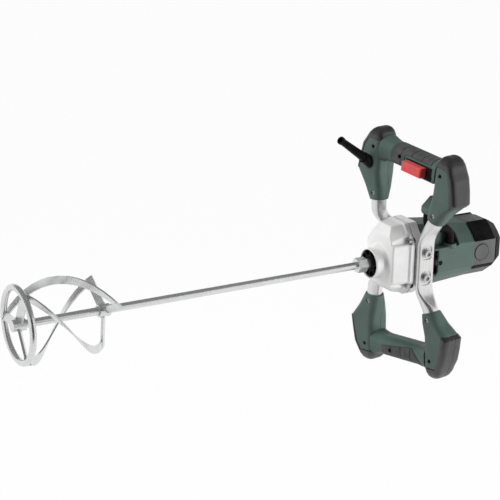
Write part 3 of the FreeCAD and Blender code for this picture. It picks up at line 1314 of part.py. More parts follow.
def handle_shells(shares, with_switch):
    """Front and rear shell of a handle, in the handle's frame."""
    body = fuse_all([bar(), guard(NEAR), guard(FAR)])
    if with_switch:
        body = fuse_all([body, hood(), outlet()])
    reach = GUARD_INNER + GUARD_WIDTH * 2
    floor = SOCKET_SKEW - GUARD_DROP + SOCKET_DEPTH + HANDLE_WALL
    room = block((-reach, -reach, floor), (reach, reach, reach))
    hollow = fuse_all([bar(HANDLE_WALL)] + [guard(side, HANDLE_WALL).common(room) for side in (NEAR, FAR)])
    for seat in handle_screw_places():
        hollow = hollow.cut(Part.makeCylinder(SCREW_BOSS_R, reach * 2, V(-reach, seat.y, seat.z), X_AXIS))
    if with_switch:
        hollow = hollow.cut(trigger_box(-reach, HOOD_REAR, HOOD_WALL))
    body = body.cut(hollow)
    for side in (NEAR, FAR):
        body = body.cut(bumper_zone(side))
        axis = arm_axis(side)
        body = body.cut(Part.makeCylinder(ARM_R + SEAT_FIT, SOCKET_DEPTH + OVERRUN,
                                          arm_foot(side) - axis * OVERRUN, axis))
    body = body.cut(grip_zone(shares))
    for seat in handle_screw_places():
        body = body.cut(screw_room(seat, HANDLE_SCREW_REACH))
    for seat in foot_screw_places():
        body = body.cut(screw_room(seat, seat.x + FOOT_SCREW_LENGTH))
    if with_switch:
        body = body.cut(trigger_box(-reach, HOOD_REAR - HOOD_WALL, SLIDE_FIT))
        body = body.cut(surround_box(-reach, SEAT_FIT))
        body = body.cut(outlet_bore())
        start, way = sleeve_axis()
        body = body.cut(Part.makeCylinder(SLEEVE_BASE_R + SEAT_FIT, SLEEVE_SEAT + SLEEVE_COLLAR, start, way))
    front = block((-reach, -reach, -reach), (0, reach, reach))
    rear = block((0, -reach, -reach), (reach, reach, reach))
    return body.common(front), body.common(rear)


def handle_screw(seat, tip):
    """Round-headed screw from its seat to the depth of its tip, placed on the top handle."""
    under_head = seat - X_AXIS * HANDLE_SCREW_HEAD
    head = Part.makeCylinder(HANDLE_SCREW_HEAD_R, HANDLE_SCREW_HEAD, under_head, X_AXIS)
    shank = Part.makeCylinder(HANDLE_SCREW_R, tip - seat.x, seat, X_AXIS)
    return moved(fuse_all([head, shank]), HANDLE_FRAME)


def screw_room(seat, tip):
    """Room of such a screw, open towards the front, in the handle's frame."""
    mouth = seat - X_AXIS * GUARD_DEPTH
    head = Part.makeCylinder(HANDLE_SCREW_HEAD_R + SEAT_FIT, GUARD_DEPTH, mouth, X_AXIS)
    shank = Part.makeCylinder(HANDLE_SCREW_R + SEAT_FIT, tip - seat.x + SEAT_FIT, seat, X_AXIS)
    return fuse_all([head, shank])


def handle_screws():
    """Three screws in each handle that hold its two shells together."""
    screws = [handle_screw(seat, HANDLE_SCREW_REACH) for seat in handle_screw_places()]
    return Part.makeCompound(screws + [lower(screw) for screw in screws])


def foot_screws():
    """Two screws in each handle that hold the arms in the guards."""
    screws = [handle_screw(seat, seat.x + FOOT_SCREW_LENGTH) for seat in foot_screw_places()]
    return Part.makeCompound(screws + [lower(screw) for screw in screws])


# Connecting hose

def connecting_hose():
    """Hose from the switch handle to the motor housing."""
    turn = HOSE_BEND_R * (1 - math.sqrt(0.5))
    route = [(HOSE_START_X, HOSE_START_Z), (HOSE_START_X, HOSE_RUN_Z + HOSE_BEND_R),
             (HOSE_START_X + turn, HOSE_RUN_Z + turn), (HOSE_START_X + HOSE_BEND_R, HOSE_RUN_Z),
             (HOSE_END_X - HOSE_BEND_R, HOSE_RUN_Z), (HOSE_END_X - turn, HOSE_RUN_Z - turn),
             (HOSE_END_X, HOSE_RUN_Z - HOSE_BEND_R), (HOSE_END_X, RECESS_FLOOR - HOSE_SINK)]
    points = [V(x, HOSE_Y, z) for x, z in route]
    edges = [Part.LineSegment(points[0], points[1]), Part.Arc(points[1], points[2], points[3]),
             Part.LineSegment(points[3], points[4]), Part.Arc(points[4], points[5], points[6]),
             Part.LineSegment(points[6], points[7])]
    path = Part.Wire([edge.toShape() for edge in edges])
    ring = Part.Wire([Part.makeCircle(HOSE_R, points[0], Z_AXIS)])
    return path.makePipeShell([ring], True, False)


# Mixing paddle

def paddle_torus():
    """Ring wire of the paddle."""
    return Part.makeTorus(RING_R, RING_WIRE_R, V(RING_X, 0, 0), X_AXIS)


def mixer_rod():
    """Paddle rod with hexagon and threaded stud."""
    corner = HEX_FLATS / math.sqrt(3)
    rear = SPINDLE_FACE_X - HEX_LENGTH
    turns = [math.pi * side / 3 for side in range(6)]
    hexagon = prism_x([(corner * math.cos(turn), corner * math.sin(turn)) for turn in turns],
                      rear, SPINDLE_FACE_X)
    round_off = revolve_x([(rear, 0), (rear, corner - HEX_CHAMFER), (rear + HEX_CHAMFER, corner + OVERRUN),
                           (SPINDLE_FACE_X, corner + OVERRUN), (SPINDLE_FACE_X, 0)])
    rod = rod_x(RING_X - LOWER_HUB_LENGTH / 2, rear, ROD_R)
    stud = rod_x(SPINDLE_FACE_X, SPINDLE_FACE_X + STUD_LENGTH, THREAD_R - SEAT_FIT)
    return fuse_all([rod, hexagon.common(round_off), stud])


def flat_section(middle, half_width, half_thick):
    """Rectangle of flat bar about its middle, from its two half sides as vectors."""
    corners = ((-1, -1), (1, -1), (1, 1), (-1, 1), (-1, -1))
    return Part.makePolygon([middle + half_width * a + half_thick * b for a, b in corners])


def radial_bar(x, angle, inner, outer, width_way, width):
    """Flat bar on a radial line at an angle from +Y towards +Z; width_way is in the (X, tangent) plane."""
    turn = math.radians(angle)
    radial = V(0, math.cos(turn), math.sin(turn))
    tangent = V(0, -math.sin(turn), math.cos(turn))
    along = X_AXIS * width_way[0] + tangent * width_way[1]
    normal = radial.cross(along).normalize()
    root = V(x, 0, 0) + radial * inner
    section = flat_section(root, along * (width / 2), normal * (SPOKE_THICK / 2))
    return Part.Face(section).extrude(radial * (outer - inner))


def flight_angle(index):
    """Angle at which a flight leaves the ring."""
    return FLIGHT_START_ANGLE + FULL_TURN * index / FLIGHTS


def mixer_lower_hub():
    """Lower hub with three pitched spokes that hold the ring."""
    hub = rod_x(RING_X - LOWER_HUB_LENGTH / 2, RING_X + LOWER_HUB_LENGTH / 2, LOWER_HUB_R)
    pitch = math.radians(SPOKE_PITCH)
    way = (math.sin(pitch), math.cos(pitch))
    spokes = [radial_bar(RING_X, flight_angle(index), ROD_R, RING_R, way, FLIGHT_WIDTH)
              for index in range(FLIGHTS)]
    return fuse_all([hub] + spokes).cut(paddle_torus()).cut(
        rod_x(RING_X - LOWER_HUB_LENGTH, RING_X + LOWER_HUB_LENGTH, ROD_R + SEAT_FIT))


def mixer_upper_hub():
    """Hub on the rod that the flights come together on."""
    start = UPPER_HUB_X - UPPER_HUB_LENGTH / 2
    return ring_x(start, start + UPPER_HUB_LENGTH, UPPER_HUB_R, ROD_R + SEAT_FIT)


def mixer_flight(index):
    """Helical flight from the ring to the upper hub, with its spoke."""
    start_x = RING_X + RING_WIRE_R - FLIGHT_COPE
    arc = RING_R * math.radians(FLIGHT_TWIST)
    length = math.hypot(FLIGHT_LENGTH, arc)
    way = (FLIGHT_LENGTH / length, arc / length)
    wires = []
    for station in range(FLIGHT_STATIONS):
        share = station / (FLIGHT_STATIONS - 1)
        turn = math.radians(flight_angle(index) + FLIGHT_TWIST * share)
        radial = V(0, math.cos(turn), math.sin(turn))
        tangent = V(0, -math.sin(turn), math.cos(turn))
        normal = radial.cross(X_AXIS * way[0] + tangent * way[1]).normalize()
        middle = V(start_x + FLIGHT_LENGTH * share, 0, 0) + radial * RING_R
        wires.append(flat_section(middle, radial * (FLIGHT_WIDTH / 2), normal * (FLIGHT_THICK / 2)))
    ribbon = Part.makeLoft(wires, True, True)
    spoke = radial_bar(UPPER_HUB_X, flight_angle(index) + FLIGHT_TWIST, ROD_R, RING_R + FLIGHT_WIDTH / 2,
                       way, FLIGHT_WIDTH)
    hub = rod_x(UPPER_HUB_X - UPPER_HUB_LENGTH, UPPER_HUB_X + UPPER_HUB_LENGTH, UPPER_HUB_R)
    return fuse_all([ribbon, spoke]).cut(paddle_torus()).cut(hub)


def build():
    """All nodes by name."""
    makers = (gear_cover, cover_screws, bearing_plate, gear_gasket, gear_case, nose_insert,
              spindle, spindle_gear, countershaft, countershaft_gear, countershaft_bearings,
              armature_shaft, armature_core, armature_windings, commutator, cooling_fan, armature_bearings,
              stator, field_coils, brush_holders, carbon_brushes, motor_housing, motor_seal, panel_screws,
              rear_cap, cap_bumper, brush_caps, arm_washers, arm_bolts, handle_screws, foot_screws,
              connecting_hose, mixer_rod, mixer_lower_hub, mixer_upper_hub)
    nodes = {maker.__name__: maker() for maker in makers}
    nodes["spindle_front_bearing"] = bearing(FRONT_BEARING_X, FRONT_BEARING_WIDTH, FRONT_BEARING_R,
                                             SPINDLE_R + RUNNING_FIT)
    nodes["spindle_rear_bearing"] = bearing(PLATE_X, PLATE_THICK, NEEDLE_R, SPINDLE_REAR_R + RUNNING_FIT)
    nodes["near_arm"] = arm(NEAR)
    nodes["far_arm"] = arm(FAR)
    top_front, top_rear = handle_shells(TOP_GRIP_SHARES, True)
    bottom_front, bottom_rear = handle_shells(BOTTOM_GRIP_SHARES, False)
    nodes["top_handle_front"] = moved(top_front, HANDLE_FRAME)
    nodes["top_handle_rear"] = moved(top_rear, HANDLE_FRAME)
    nodes["bottom_handle_front"] = lower(moved(bottom_front, HANDLE_FRAME))
    nodes["bottom_handle_rear"] = lower(moved(bottom_rear, HANDLE_FRAME))
    nodes["top_grip"] = moved(grip(TOP_GRIP_SHARES), HANDLE_FRAME)
    nodes["bottom_grip"] = lower(moved(grip(BOTTOM_GRIP_SHARES), HANDLE_FRAME))
    for word, side in (("near", NEAR), ("far", FAR)):
        rubber = moved(bumper(side), HANDLE_FRAME)
        nodes["top_%s_bumper" % word] = rubber
        nodes["bottom_%s_bumper" % word] = lower(rubber)
    for maker in (trigger, switch_surround, switch_module, cable_sleeve):
        nodes[maker.__name__] = moved(maker(), HANDLE_FRAME)
    nodes["mixer_ring"] = paddle_torus()
    for index in range(FLIGHTS):
        nodes["mixer_flight_%d" % (index + 1)] = mixer_flight(index)
    return nodes


os.makedirs("parts", exist_ok=True)
for name, shape in build().items():
    shape.exportStep("parts/%s.step" % name)
    print(name, len(shape.Solids), round(shape.Volume), shape.isValid())
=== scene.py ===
import json
import math

import bmesh
import bpy
from mathutils import Matrix, Vector

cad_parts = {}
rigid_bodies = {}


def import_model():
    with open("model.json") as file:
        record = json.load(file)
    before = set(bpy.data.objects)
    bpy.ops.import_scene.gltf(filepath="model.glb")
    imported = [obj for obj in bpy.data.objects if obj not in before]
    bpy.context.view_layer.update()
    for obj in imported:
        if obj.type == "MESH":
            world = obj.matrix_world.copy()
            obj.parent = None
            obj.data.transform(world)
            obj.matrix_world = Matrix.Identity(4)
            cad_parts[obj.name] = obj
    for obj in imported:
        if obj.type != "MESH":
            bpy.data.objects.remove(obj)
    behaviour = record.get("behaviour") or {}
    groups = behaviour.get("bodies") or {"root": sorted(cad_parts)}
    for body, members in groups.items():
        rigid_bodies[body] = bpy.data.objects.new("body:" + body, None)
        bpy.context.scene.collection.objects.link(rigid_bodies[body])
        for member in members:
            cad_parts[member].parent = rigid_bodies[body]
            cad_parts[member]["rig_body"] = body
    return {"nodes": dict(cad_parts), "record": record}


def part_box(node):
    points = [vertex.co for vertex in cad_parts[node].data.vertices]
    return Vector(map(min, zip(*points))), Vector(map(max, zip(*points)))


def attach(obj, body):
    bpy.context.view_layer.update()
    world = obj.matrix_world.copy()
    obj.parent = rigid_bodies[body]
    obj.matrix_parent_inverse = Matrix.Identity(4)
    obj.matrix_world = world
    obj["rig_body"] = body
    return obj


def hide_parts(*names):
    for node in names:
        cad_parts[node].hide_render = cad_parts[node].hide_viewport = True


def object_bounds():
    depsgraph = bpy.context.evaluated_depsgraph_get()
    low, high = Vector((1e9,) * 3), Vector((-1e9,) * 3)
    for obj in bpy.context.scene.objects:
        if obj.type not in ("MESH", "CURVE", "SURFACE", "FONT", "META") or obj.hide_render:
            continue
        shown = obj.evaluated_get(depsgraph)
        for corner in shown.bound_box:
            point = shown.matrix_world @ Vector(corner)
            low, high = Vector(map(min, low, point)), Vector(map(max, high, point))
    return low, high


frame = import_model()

cad_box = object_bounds()

# View and studio
# A long lens looks down on the tool from its paddle side. The floor is plain white, well below the tool.
# Soft boxes light it from both sides, from above and from behind. Gloss shows two cards in their place,
# a black one near the lens and a grey one overhead, so that bright metal has dark edges.
MM = 0.001
VIEW_AZIMUTH = math.radians(-30.51)
VIEW_ELEVATION = math.radians(18.33)
VIEW_ROLL = math.radians(1.17)
VIEW_DISTANCE = 2584.3 * MM
VIEW_LEFT = 190.9 * MM
VIEW_LIFT = 21.5 * MM
SENSOR = 36.0
LENS = 115.82

back = Vector((math.sin(VIEW_AZIMUTH) * math.cos(VIEW_ELEVATION),
               -math.cos(VIEW_AZIMUTH) * math.cos(VIEW_ELEVATION), math.sin(VIEW_ELEVATION)))
level_back = Vector((math.sin(VIEW_AZIMUTH), -math.cos(VIEW_AZIMUTH), 0))
level_right = Vector((math.cos(VIEW_AZIMUTH), math.sin(VIEW_AZIMUTH), 0))
level_up = back.cross(level_right)
right = level_right * math.cos(VIEW_ROLL) + level_up * math.sin(VIEW_ROLL)
up = back.cross(right)
camera = bpy.data.objects.new("camera", bpy.data.cameras.new("camera"))
camera.data.sensor_width = SENSOR
camera.data.lens = LENS
place = Matrix((right, up, back)).transposed().to_4x4()
place.translation = back * VIEW_DISTANCE - right * VIEW_LEFT + up * VIEW_LIFT
camera.matrix_world = place
bpy.context.scene.collection.objects.link(camera)
bpy.context.scene.camera = camera
bpy.context.scene.view_settings.view_transform = "Standard"

FLOOR_DROP = 0.55
FLOOR_HALF = 40.0
FLOOR_WHITE = (0.72, 0.72, 0.72, 1)
FLOOR_ROUGHNESS = 0.9
BACKGROUND_SHARE = 0.97
SKY_LIGHT = 0.12
SHEET_CORNERS = ((-1, -1), (1, -1), (1, 1), (-1, 1))
SHEET_FACE = (0, 1, 2, 3)


def background_ray(tree):
    """One for the rays that look at the background, straight or by way of gloss or glass."""
    path = tree.nodes.new("ShaderNodeLightPath")
    seen = path.outputs["Is Camera Ray"]
    for kind in ("Is Glossy Ray", "Is Transmission Ray"):
        either = tree.nodes.new("ShaderNodeMath")
        either.operation = "MAXIMUM"
        tree.links.new(seen, either.inputs[0])
        tree.links.new(path.outputs[kind], either.inputs[1])
        seen = either.outputs[0]
    return seen


def studio_sky():
    """World that looks white and lights the tool evenly."""
    world = bpy.data.worlds.new("studio")
    bpy.context.scene.world = world
    world.use_nodes = True
    tree = world.node_tree
    light = tree.nodes["Background"]
    light.inputs["Color"].default_value = (1, 1, 1, 1)
    light.inputs["Strength"].default_value = SKY_LIGHT
    white = tree.nodes.new("ShaderNodeBackground")
    white.inputs["Color"].default_value = (1, 1, 1, 1)
    mix = tree.nodes.new("ShaderNodeMixShader")
    tree.links.new(background_ray(tree), mix.inputs[0])
    tree.links.new(light.outputs[0], mix.inputs[1])
    tree.links.new(white.outputs[0], mix.inputs[2])
    tree.links.new(mix.outputs[0], tree.nodes["World Output"].inputs["Surface"])


def floor_paint():
    """White paint that fades into the background and keeps a faint shadow."""
    paint = bpy.data.materials.new("floor_paint")
    paint.use_nodes = True
    tree = paint.node_tree
    shader = tree.nodes["Principled BSDF"]
    shader.inputs["Base Color"].default_value = FLOOR_WHITE
    shader.inputs["Roughness"].default_value = FLOOR_ROUGHNESS
    glow = tree.nodes.new("ShaderNodeEmission")
    glow.inputs["Color"].default_value = (1, 1, 1, 1)
    share = tree.nodes.new("ShaderNodeMath")
    share.operation = "MULTIPLY"
    share.inputs[1].default_value = BACKGROUND_SHARE
    tree.links.new(background_ray(tree), share.inputs[0])
    mix = tree.nodes.new("ShaderNodeMixShader")
    tree.links.new(share.outputs[0], mix.inputs[0])
    tree.links.new(shader.outputs[0], mix.inputs[1])
    tree.links.new(glow.outputs[0], mix.inputs[2])
    tree.links.new(mix.outputs[0], tree.nodes["Material Output"].inputs["Surface"])
    return paint


floor_mesh = bpy.data.meshes.new("floor")
floor_z = cad_box[0][2] - FLOOR_DROP
floor_corners = [(x * FLOOR_HALF, y * FLOOR_HALF, floor_z) for x, y in SHEET_CORNERS]
floor_mesh.from_pydata(floor_corners, [], [SHEET_FACE])
floor_mesh.materials.append(floor_paint())
floor = bpy.data.objects.new("floor", floor_mesh)
bpy.context.scene.collection.objects.link(floor)
studio_sky()

# name, place from the machine's middle and size of the soft box in metres, power in watts
LAMP_TARGET = Vector((60 * MM, 0, 0))
LAMPS = (
    ("lamp_paddle_side", (-2.3, 1.5, 1.0), 2.0, 46),
    ("lamp_motor_side", (1.4, -1.35, -0.1), 1.8, 58),
    ("lamp_over", (-0.9, 0.4, 1.7), 1.4, 30),
    ("lamp_behind", (0.7, 1.8, 0.6), 1.2, 6),
)
for name, offset, size, power in LAMPS:
    lamp = bpy.data.lights.new(name, "AREA")
    lamp.shape = "DISK"
    lamp.size = size
    lamp.energy = power
    lamp_object = bpy.data.objects.new(name, lamp)
    lamp_object.location = LAMP_TARGET + Vector(offset)
    lamp_object.rotation_euler = (-Vector(offset)).to_track_quat("-Z", "Y").to_euler()
    lamp_object.visible_glossy = False
    bpy.context.scene.collection.objects.link(lamp_object)

# name, place from the machine's middle, half width and half height in metres, shade of grey
CARDS = (
    ("card_at_lens", level_back * 1.6 + Vector((0, 0, 0.25)),
     level_right * 0.95, Vector((0, 0, 0.9)), 0.03),
    ("card_overhead", Vector((0, 0.8, 1.0)),
     Vector((2.6, 0, 0)), Vector((0, 2.1, 0)), 0.22),
)
for name, middle, half_width, half_height, shade in CARDS:
    card_paint = bpy.data.materials.new(name)
    card_paint.use_nodes = True
    card_shader = card_paint.node_tree.nodes["Principled BSDF"]
    card_shader.inputs["Base Color"].default_value = (0, 0, 0, 1)
    card_shader.inputs["Specular IOR Level"].default_value = 0
    card_shader.inputs["Emission Color"].default_value = (1, 1, 1, 1)
    card_shader.inputs["Emission Strength"].default_value = shade
    sheet = bpy.data.meshes.new(name)
    card_corners = [LAMP_TARGET + middle + half_width * a + half_height * b for a, b in SHEET_CORNERS]
    sheet.from_pydata(card_corners, [], [SHEET_FACE])
    sheet.materials.append(card_paint)
    card = bpy.data.objects.new(name, sheet)
    card.visible_camera = False
    card.visible_diffuse = False
    card.visible_shadow = False
    bpy.context.scene.collection.objects.link(card)

# Mixing paddle
# Bright galvanised steel: a round rod with a hexagon, two hubs, three spokes, a ring and three
# helical flights, welded together. The rod screws into the spindle.
EDGE_ANGLE = math.radians(30)
MERGE_DISTANCE = 1e-7
FLAT_ANGLE = math.radians(0.4)
EDGE_SAMPLES = 6
CRYSTAL_SIZE = 9 * MM
# widths in millimetres
PADDLE_EDGES = {
    "mixer_rod": 0.5, "mixer_lower_hub": 0.5, "mixer_upper_hub": 0.7, "mixer_ring": 0,
    "mixer_flight_1": 0.4, "mixer_flight_2": 0.4, "mixer_flight_3": 0.4,
}
body_of_node = {node: piece["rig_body"] for node, piece in frame["nodes"].items()}
slot_of_node = {row["node"]: row["material_slot"] for row in frame["record"]["subparts"]}


def finished(node, paint, edge, segments=2, limited=True):
    """A CAD piece's own form, edges bevelled by a width in millimetres, which short edges limit or not."""
    mesh = frame["nodes"][node].data.copy()
    mesh.materials.clear()
    mesh.materials.append(paint)
    form = bmesh.new()
    form.from_mesh(mesh)
    bmesh.ops.remove_doubles(form, verts=form.verts, dist=MERGE_DISTANCE)
    if edge:
        bmesh.ops.dissolve_limit(form, angle_limit=FLAT_ANGLE, verts=form.verts, edges=form.edges)
    for face in form.faces:
        face.smooth = True
        face.material_index = 0
    for line in form.edges:
        line.smooth = len(line.link_faces) == 2 and line.calc_face_angle(math.pi) < EDGE_ANGLE
    form.to_mesh(mesh)
    form.free()
    piece = bpy.data.objects.new(node + "_finished", mesh)
    bpy.context.scene.collection.objects.link(piece)
    if edge:
        soft = piece.modifiers.new("soft_edges", "BEVEL")
        soft.width = edge * MM
        soft.segments = segments
        soft.limit_method = "ANGLE"
        soft.angle_limit = EDGE_ANGLE
        soft.use_clamp_overlap = limited
        soft.harden_normals = True
    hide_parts(node)
    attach(piece, body_of_node[node])
    return piece


def new_finish(name, metallic=0.0):
    """A material with its tree and shader."""
    paint = bpy.data.materials.new(name)
    paint.use_nodes = True
    shader = paint.node_tree.nodes["Principled BSDF"]
    shader.inputs["Metallic"].default_value = metallic
    return paint, paint.node_tree, shader


def grain(tree, size, detail=3.0, stretch=(1, 1, 1)):
    """Soft noise on the piece's own coordinates, with spots of a size in millimetres."""
    coordinates = tree.nodes.new("ShaderNodeTexCoord")
    mapping = tree.nodes.new("ShaderNodeMapping")
    mapping.inputs["Scale"].default_value = stretch
    noise = tree.nodes.new("ShaderNodeTexNoise")
    noise.inputs["Scale"].default_value = 1 / (size * MM)
    noise.inputs["Detail"].default_value = detail
    tree.links.new(coordinates.outputs["Object"], mapping.inputs["Vector"])
    tree.links.new(mapping.outputs["Vector"], noise.inputs["Vector"])
    return noise.outputs["Fac"]


def coloured_by(tree, shader, value, dark, light, start=0.35, end=0.65):
    """Colour that goes from dark to light with a value."""
    ramp = tree.nodes.new("ShaderNodeValToRGB")
    ramp.color_ramp.elements[0].position = start
    ramp.color_ramp.elements[0].color = (*dark, 1)
    ramp.color_ramp.elements[1].position = end
    ramp.color_ramp.elements[1].color = (*light, 1)
    tree.links.new(value, ramp.inputs["Fac"])
    tree.links.new(ramp.outputs["Color"], shader.inputs["Base Color"])


def rough_between(tree, shader, value, low, high):
    """Roughness that goes from low to high with a value."""
    spread = tree.nodes.new("ShaderNodeMapRange")
    spread.inputs["To Min"].default_value = low
    spread.inputs["To Max"].default_value = high
    tree.links.new(value, spread.inputs["Value"])
    tree.links.new(spread.outputs["Result"], shader.inputs["Roughness"])


def raised_by(tree, shader, value, strength, depth, edge_radius=0):
    """Fine relief of a depth in millimetres, on edges shaded as if rounded by a radius."""
    relief = tree.nodes.new("ShaderNodeBump")
    relief.inputs["Strength"].default_value = strength
    relief.inputs["Distance"].default_value = depth * MM
    tree.links.new(value, relief.inputs["Height"])
    if edge_radius:
        rounding = tree.nodes.new("ShaderNodeBevel")
        rounding.samples = EDGE_SAMPLES
        rounding.inputs["Radius"].default_value = edge_radius * MM
        tree.links.new(rounding.outputs["Normal"], relief.inputs["Normal"])
    tree.links.new(relief.outputs["Normal"], shader.inputs["Normal"])


def galvanised_steel():
    """Zinc-coated steel with faint crystal patches and drawing streaks along the rod."""
    paint, tree, shader = new_finish("galvanised_steel", metallic=0.92)
    coordinates = tree.nodes.new("ShaderNodeTexCoord")
    crystals = tree.nodes.new("ShaderNodeTexVoronoi")
    crystals.inputs["Scale"].default_value = 1 / CRYSTAL_SIZE
    tree.links.new(coordinates.outputs["Object"], crystals.inputs["Vector"])
    patch = tree.nodes.new("ShaderNodeSeparateColor")
    tree.links.new(crystals.outputs["Color"], patch.inputs["Color"])
    coloured_by(tree, shader, patch.outputs["Red"], dark=(0.69, 0.695, 0.70), light=(0.73, 0.735, 0.74),
                start=0.0, end=1.0)
    streaks = grain(tree, size=4.0, detail=2.0, stretch=(0.06, 1, 1))
    rough_between(tree, shader, streaks, low=0.24, high=0.32)
    raised_by(tree, shader, streaks, strength=0.02, depth=0.1)
    return paint


paddle_steel = galvanised_steel()
for node, edge in PADDLE_EDGES.items():
    finished(node, paddle_steel, edge)

# Welds of the paddle
# Short runs of weld metal join the flights, spokes, ring and hubs. Each run is a row of overlapping
# ripples, laid by hand and galvanised with the rest.
FLIGHTS = 3
FLIGHT_START = math.radians(117)
FLIGHT_TWIST = math.radians(158)
SPOKE_PITCH = math.radians(30)
FLIGHT_WIDTH = 12 * MM
FLIGHT_THICK = 2.5 * MM
SPOKE_THICK = 3.5 * MM
ROD_R = 6 * MM
HUB_R = 9 * MM
RING_POINTS = 24
RUN_POINTS = 7
RUN_SHARE_OF_WIRE = 0.9
RUN_LEAN = 0.3
BEAD_SEGMENTS = 10
BEAD_RINGS = 6
BEAD_SCALES = (0.82, 1.12)
WELD_SIZES = {"Bead Radius": 1.25 * MM, "Ripple Step": 1.0 * MM, "Ripple Flatness": 0.6, "Seed": 7}


def new_tree(name, inputs):
    """A node tree with a geometry in and out and named inputs, each with its socket type."""
    tree = bpy.data.node_groups.new(name, "GeometryNodeTree")
    tree.interface.new_socket("Geometry", in_out="INPUT", socket_type="NodeSocketGeometry")
    for label, kind in inputs:
        tree.interface.new_socket(label, in_out="INPUT", socket_type=kind)
    tree.interface.new_socket("Geometry", in_out="OUTPUT", socket_type="NodeSocketGeometry")
    return tree, tree.nodes.new("NodeGroupInput"), tree.nodes.new("NodeGroupOutput")


def chained(tree, first, *kinds):
    """New nodes, each taking the geometry of the one before."""
    made = []
    for kind in kinds:
        node = tree.nodes.new(kind)
        tree.links.new(first.outputs[0], node.inputs[0])
        made.append(node)
        first = node
    return made


def grown(name, points, lines, tree, sizes):
    """Object with the plain mesh that a node tree makes from points and lines."""
    drawing = bpy.data.meshes.new(name)
    drawing.from_pydata(points, lines, [])
    piece = bpy.data.objects.new(name, drawing)
    bpy.context.scene.collection.objects.link(piece)
    grower = piece.modifiers.new("grower", "NODES")
    grower.node_group = tree
    for socket in tree.interface.items_tree:
        if socket.in_out == "INPUT" and socket.name in sizes:
            grower[socket.identifier] = sizes[socket.name]
    graph = bpy.context.evaluated_depsgraph_get()
    mesh = bpy.data.meshes.new_from_object(piece.evaluated_get(graph), depsgraph=graph)
    piece.modifiers.remove(grower)
    piece.data = mesh
    return piece


def weld_ripples(paint):
    """Tree that lays flattened beads along the lines of a drawing."""
    tree, given, result = new_tree("weld_ripples", (
        ("Bead Radius", "NodeSocketFloat"), ("Ripple Step", "NodeSocketFloat"),
        ("Ripple Flatness", "NodeSocketFloat"), ("Seed", "NodeSocketInt")))
    _, points, laid, _, _, painted = chained(
        tree, given, "GeometryNodeMeshToCurve", "GeometryNodeCurveToPoints", "GeometryNodeInstanceOnPoints",
        "GeometryNodeRealizeInstances", "GeometryNodeSetShadeSmooth", "GeometryNodeSetMaterial")
    points.mode = "LENGTH"
    tree.links.new(given.outputs["Ripple Step"], points.inputs["Length"])
    tree.links.new(points.outputs["Rotation"], laid.inputs["Rotation"])
    bead = tree.nodes.new("GeometryNodeMeshUVSphere")
    bead.inputs["Segments"].default_value = BEAD_SEGMENTS
    bead.inputs["Rings"].default_value = BEAD_RINGS
    tree.links.new(given.outputs["Bead Radius"], bead.inputs["Radius"])
    tree.links.new(bead.outputs["Mesh"], laid.inputs["Instance"])
    uneven = tree.nodes.new("FunctionNodeRandomValue")
    uneven.inputs[2].default_value = BEAD_SCALES[0]
    uneven.inputs[3].default_value = BEAD_SCALES[1]
    tree.links.new(given.outputs["Seed"], uneven.inputs["Seed"])
    form = tree.nodes.new("ShaderNodeCombineXYZ")
    flat = tree.nodes.new("ShaderNodeMath")
    flat.operation = "MULTIPLY"
    tree.links.new(uneven.outputs[1], flat.inputs[0])
    tree.links.new(given.outputs["Ripple Flatness"], flat.inputs[1])
    tree.links.new(uneven.outputs[1], form.inputs["X"])
    tree.links.new(uneven.outputs[1], form.inputs["Y"])
    tree.links.new(flat.outputs[0], form.inputs["Z"])
    tree.links.new(form.outputs[0], laid.inputs["Scale"])
    painted.inputs["Material"].default_value = paint
    tree.links.new(painted.outputs[0], result.inputs[0])
    return tree


def middle_and_reach(node):
    """Middle of a turned node along X, half its length and its outer radius."""
    low, high = (Vector(corner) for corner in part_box(node))
    return (low.x + high.x) / 2, (high.x - low.x) / 2, (high.y - low.y) / 2


ring_x, wire_r, ring_outer = middle_and_reach("mixer_ring")
lower_x, lower_half, _ = middle_and_reach("mixer_lower_hub")
upper_x, upper_half, upper_r = middle_and_reach("mixer_upper_hub")
ring_r = ring_outer - wire_r
flight_length = upper_x - ring_x
flight_lead = math.atan2(ring_r * FLIGHT_TWIST, flight_length)
weld_points = []
weld_lines = []


def weld_run(points):
    """Add one run of weld through some points."""
    first = len(weld_points)
    weld_points.extend(points)
    weld_lines.extend((first + step, first + step + 1) for step in range(len(points) - 1))


def across_bar(x, angle, radius, pitch, thick):
    """Runs on both faces of a flat radial bar, where it meets a hub or the ring."""
    radial = Vector((0, math.cos(angle), math.sin(angle)))
    tangent = Vector((0, -math.sin(angle), math.cos(angle)))
    along = Vector((math.sin(pitch), 0, 0)) + tangent * math.cos(pitch)
    normal = radial.cross(along)
    shares = [step / (RUN_POINTS - 1) - 0.5 for step in range(RUN_POINTS)]
    for side in (-1, 1):
        foot = Vector((x, 0, 0)) + radial * radius + normal * (side * thick / 2)
        weld_run([foot + along * (FLIGHT_WIDTH * share) for share in shares])


def round_rod(x):
    """Run round the rod at the end of a hub."""
    turns = [2 * math.pi * step / RING_POINTS for step in range(RING_POINTS + 1)]
    weld_run([Vector((x, ROD_R * math.cos(turn), ROD_R * math.sin(turn))) for turn in turns])


def flight_on_ring(angle):
    """Runs on both faces of a flight where it stands on the ring's wire."""
    radial = Vector((0, math.cos(angle), math.sin(angle)))
    tangent = Vector((0, -math.sin(angle), math.cos(angle)))
    along = Vector((math.cos(flight_lead), 0, 0)) + tangent * math.sin(flight_lead)
    normal = radial.cross(along)
    for side in (-1, 1):
        points = []
        for step in range(RUN_POINTS):
            out = wire_r * RUN_SHARE_OF_WIRE * (2 * step / (RUN_POINTS - 1) - 1)
            lift = math.sqrt(wire_r ** 2 - out ** 2)
            points.append(Vector((ring_x + lift, 0, 0)) + radial * (ring_r + out)
                          + normal * (side * FLIGHT_THICK / 2) + tangent * (lift * RUN_LEAN))
        weld_run(points)


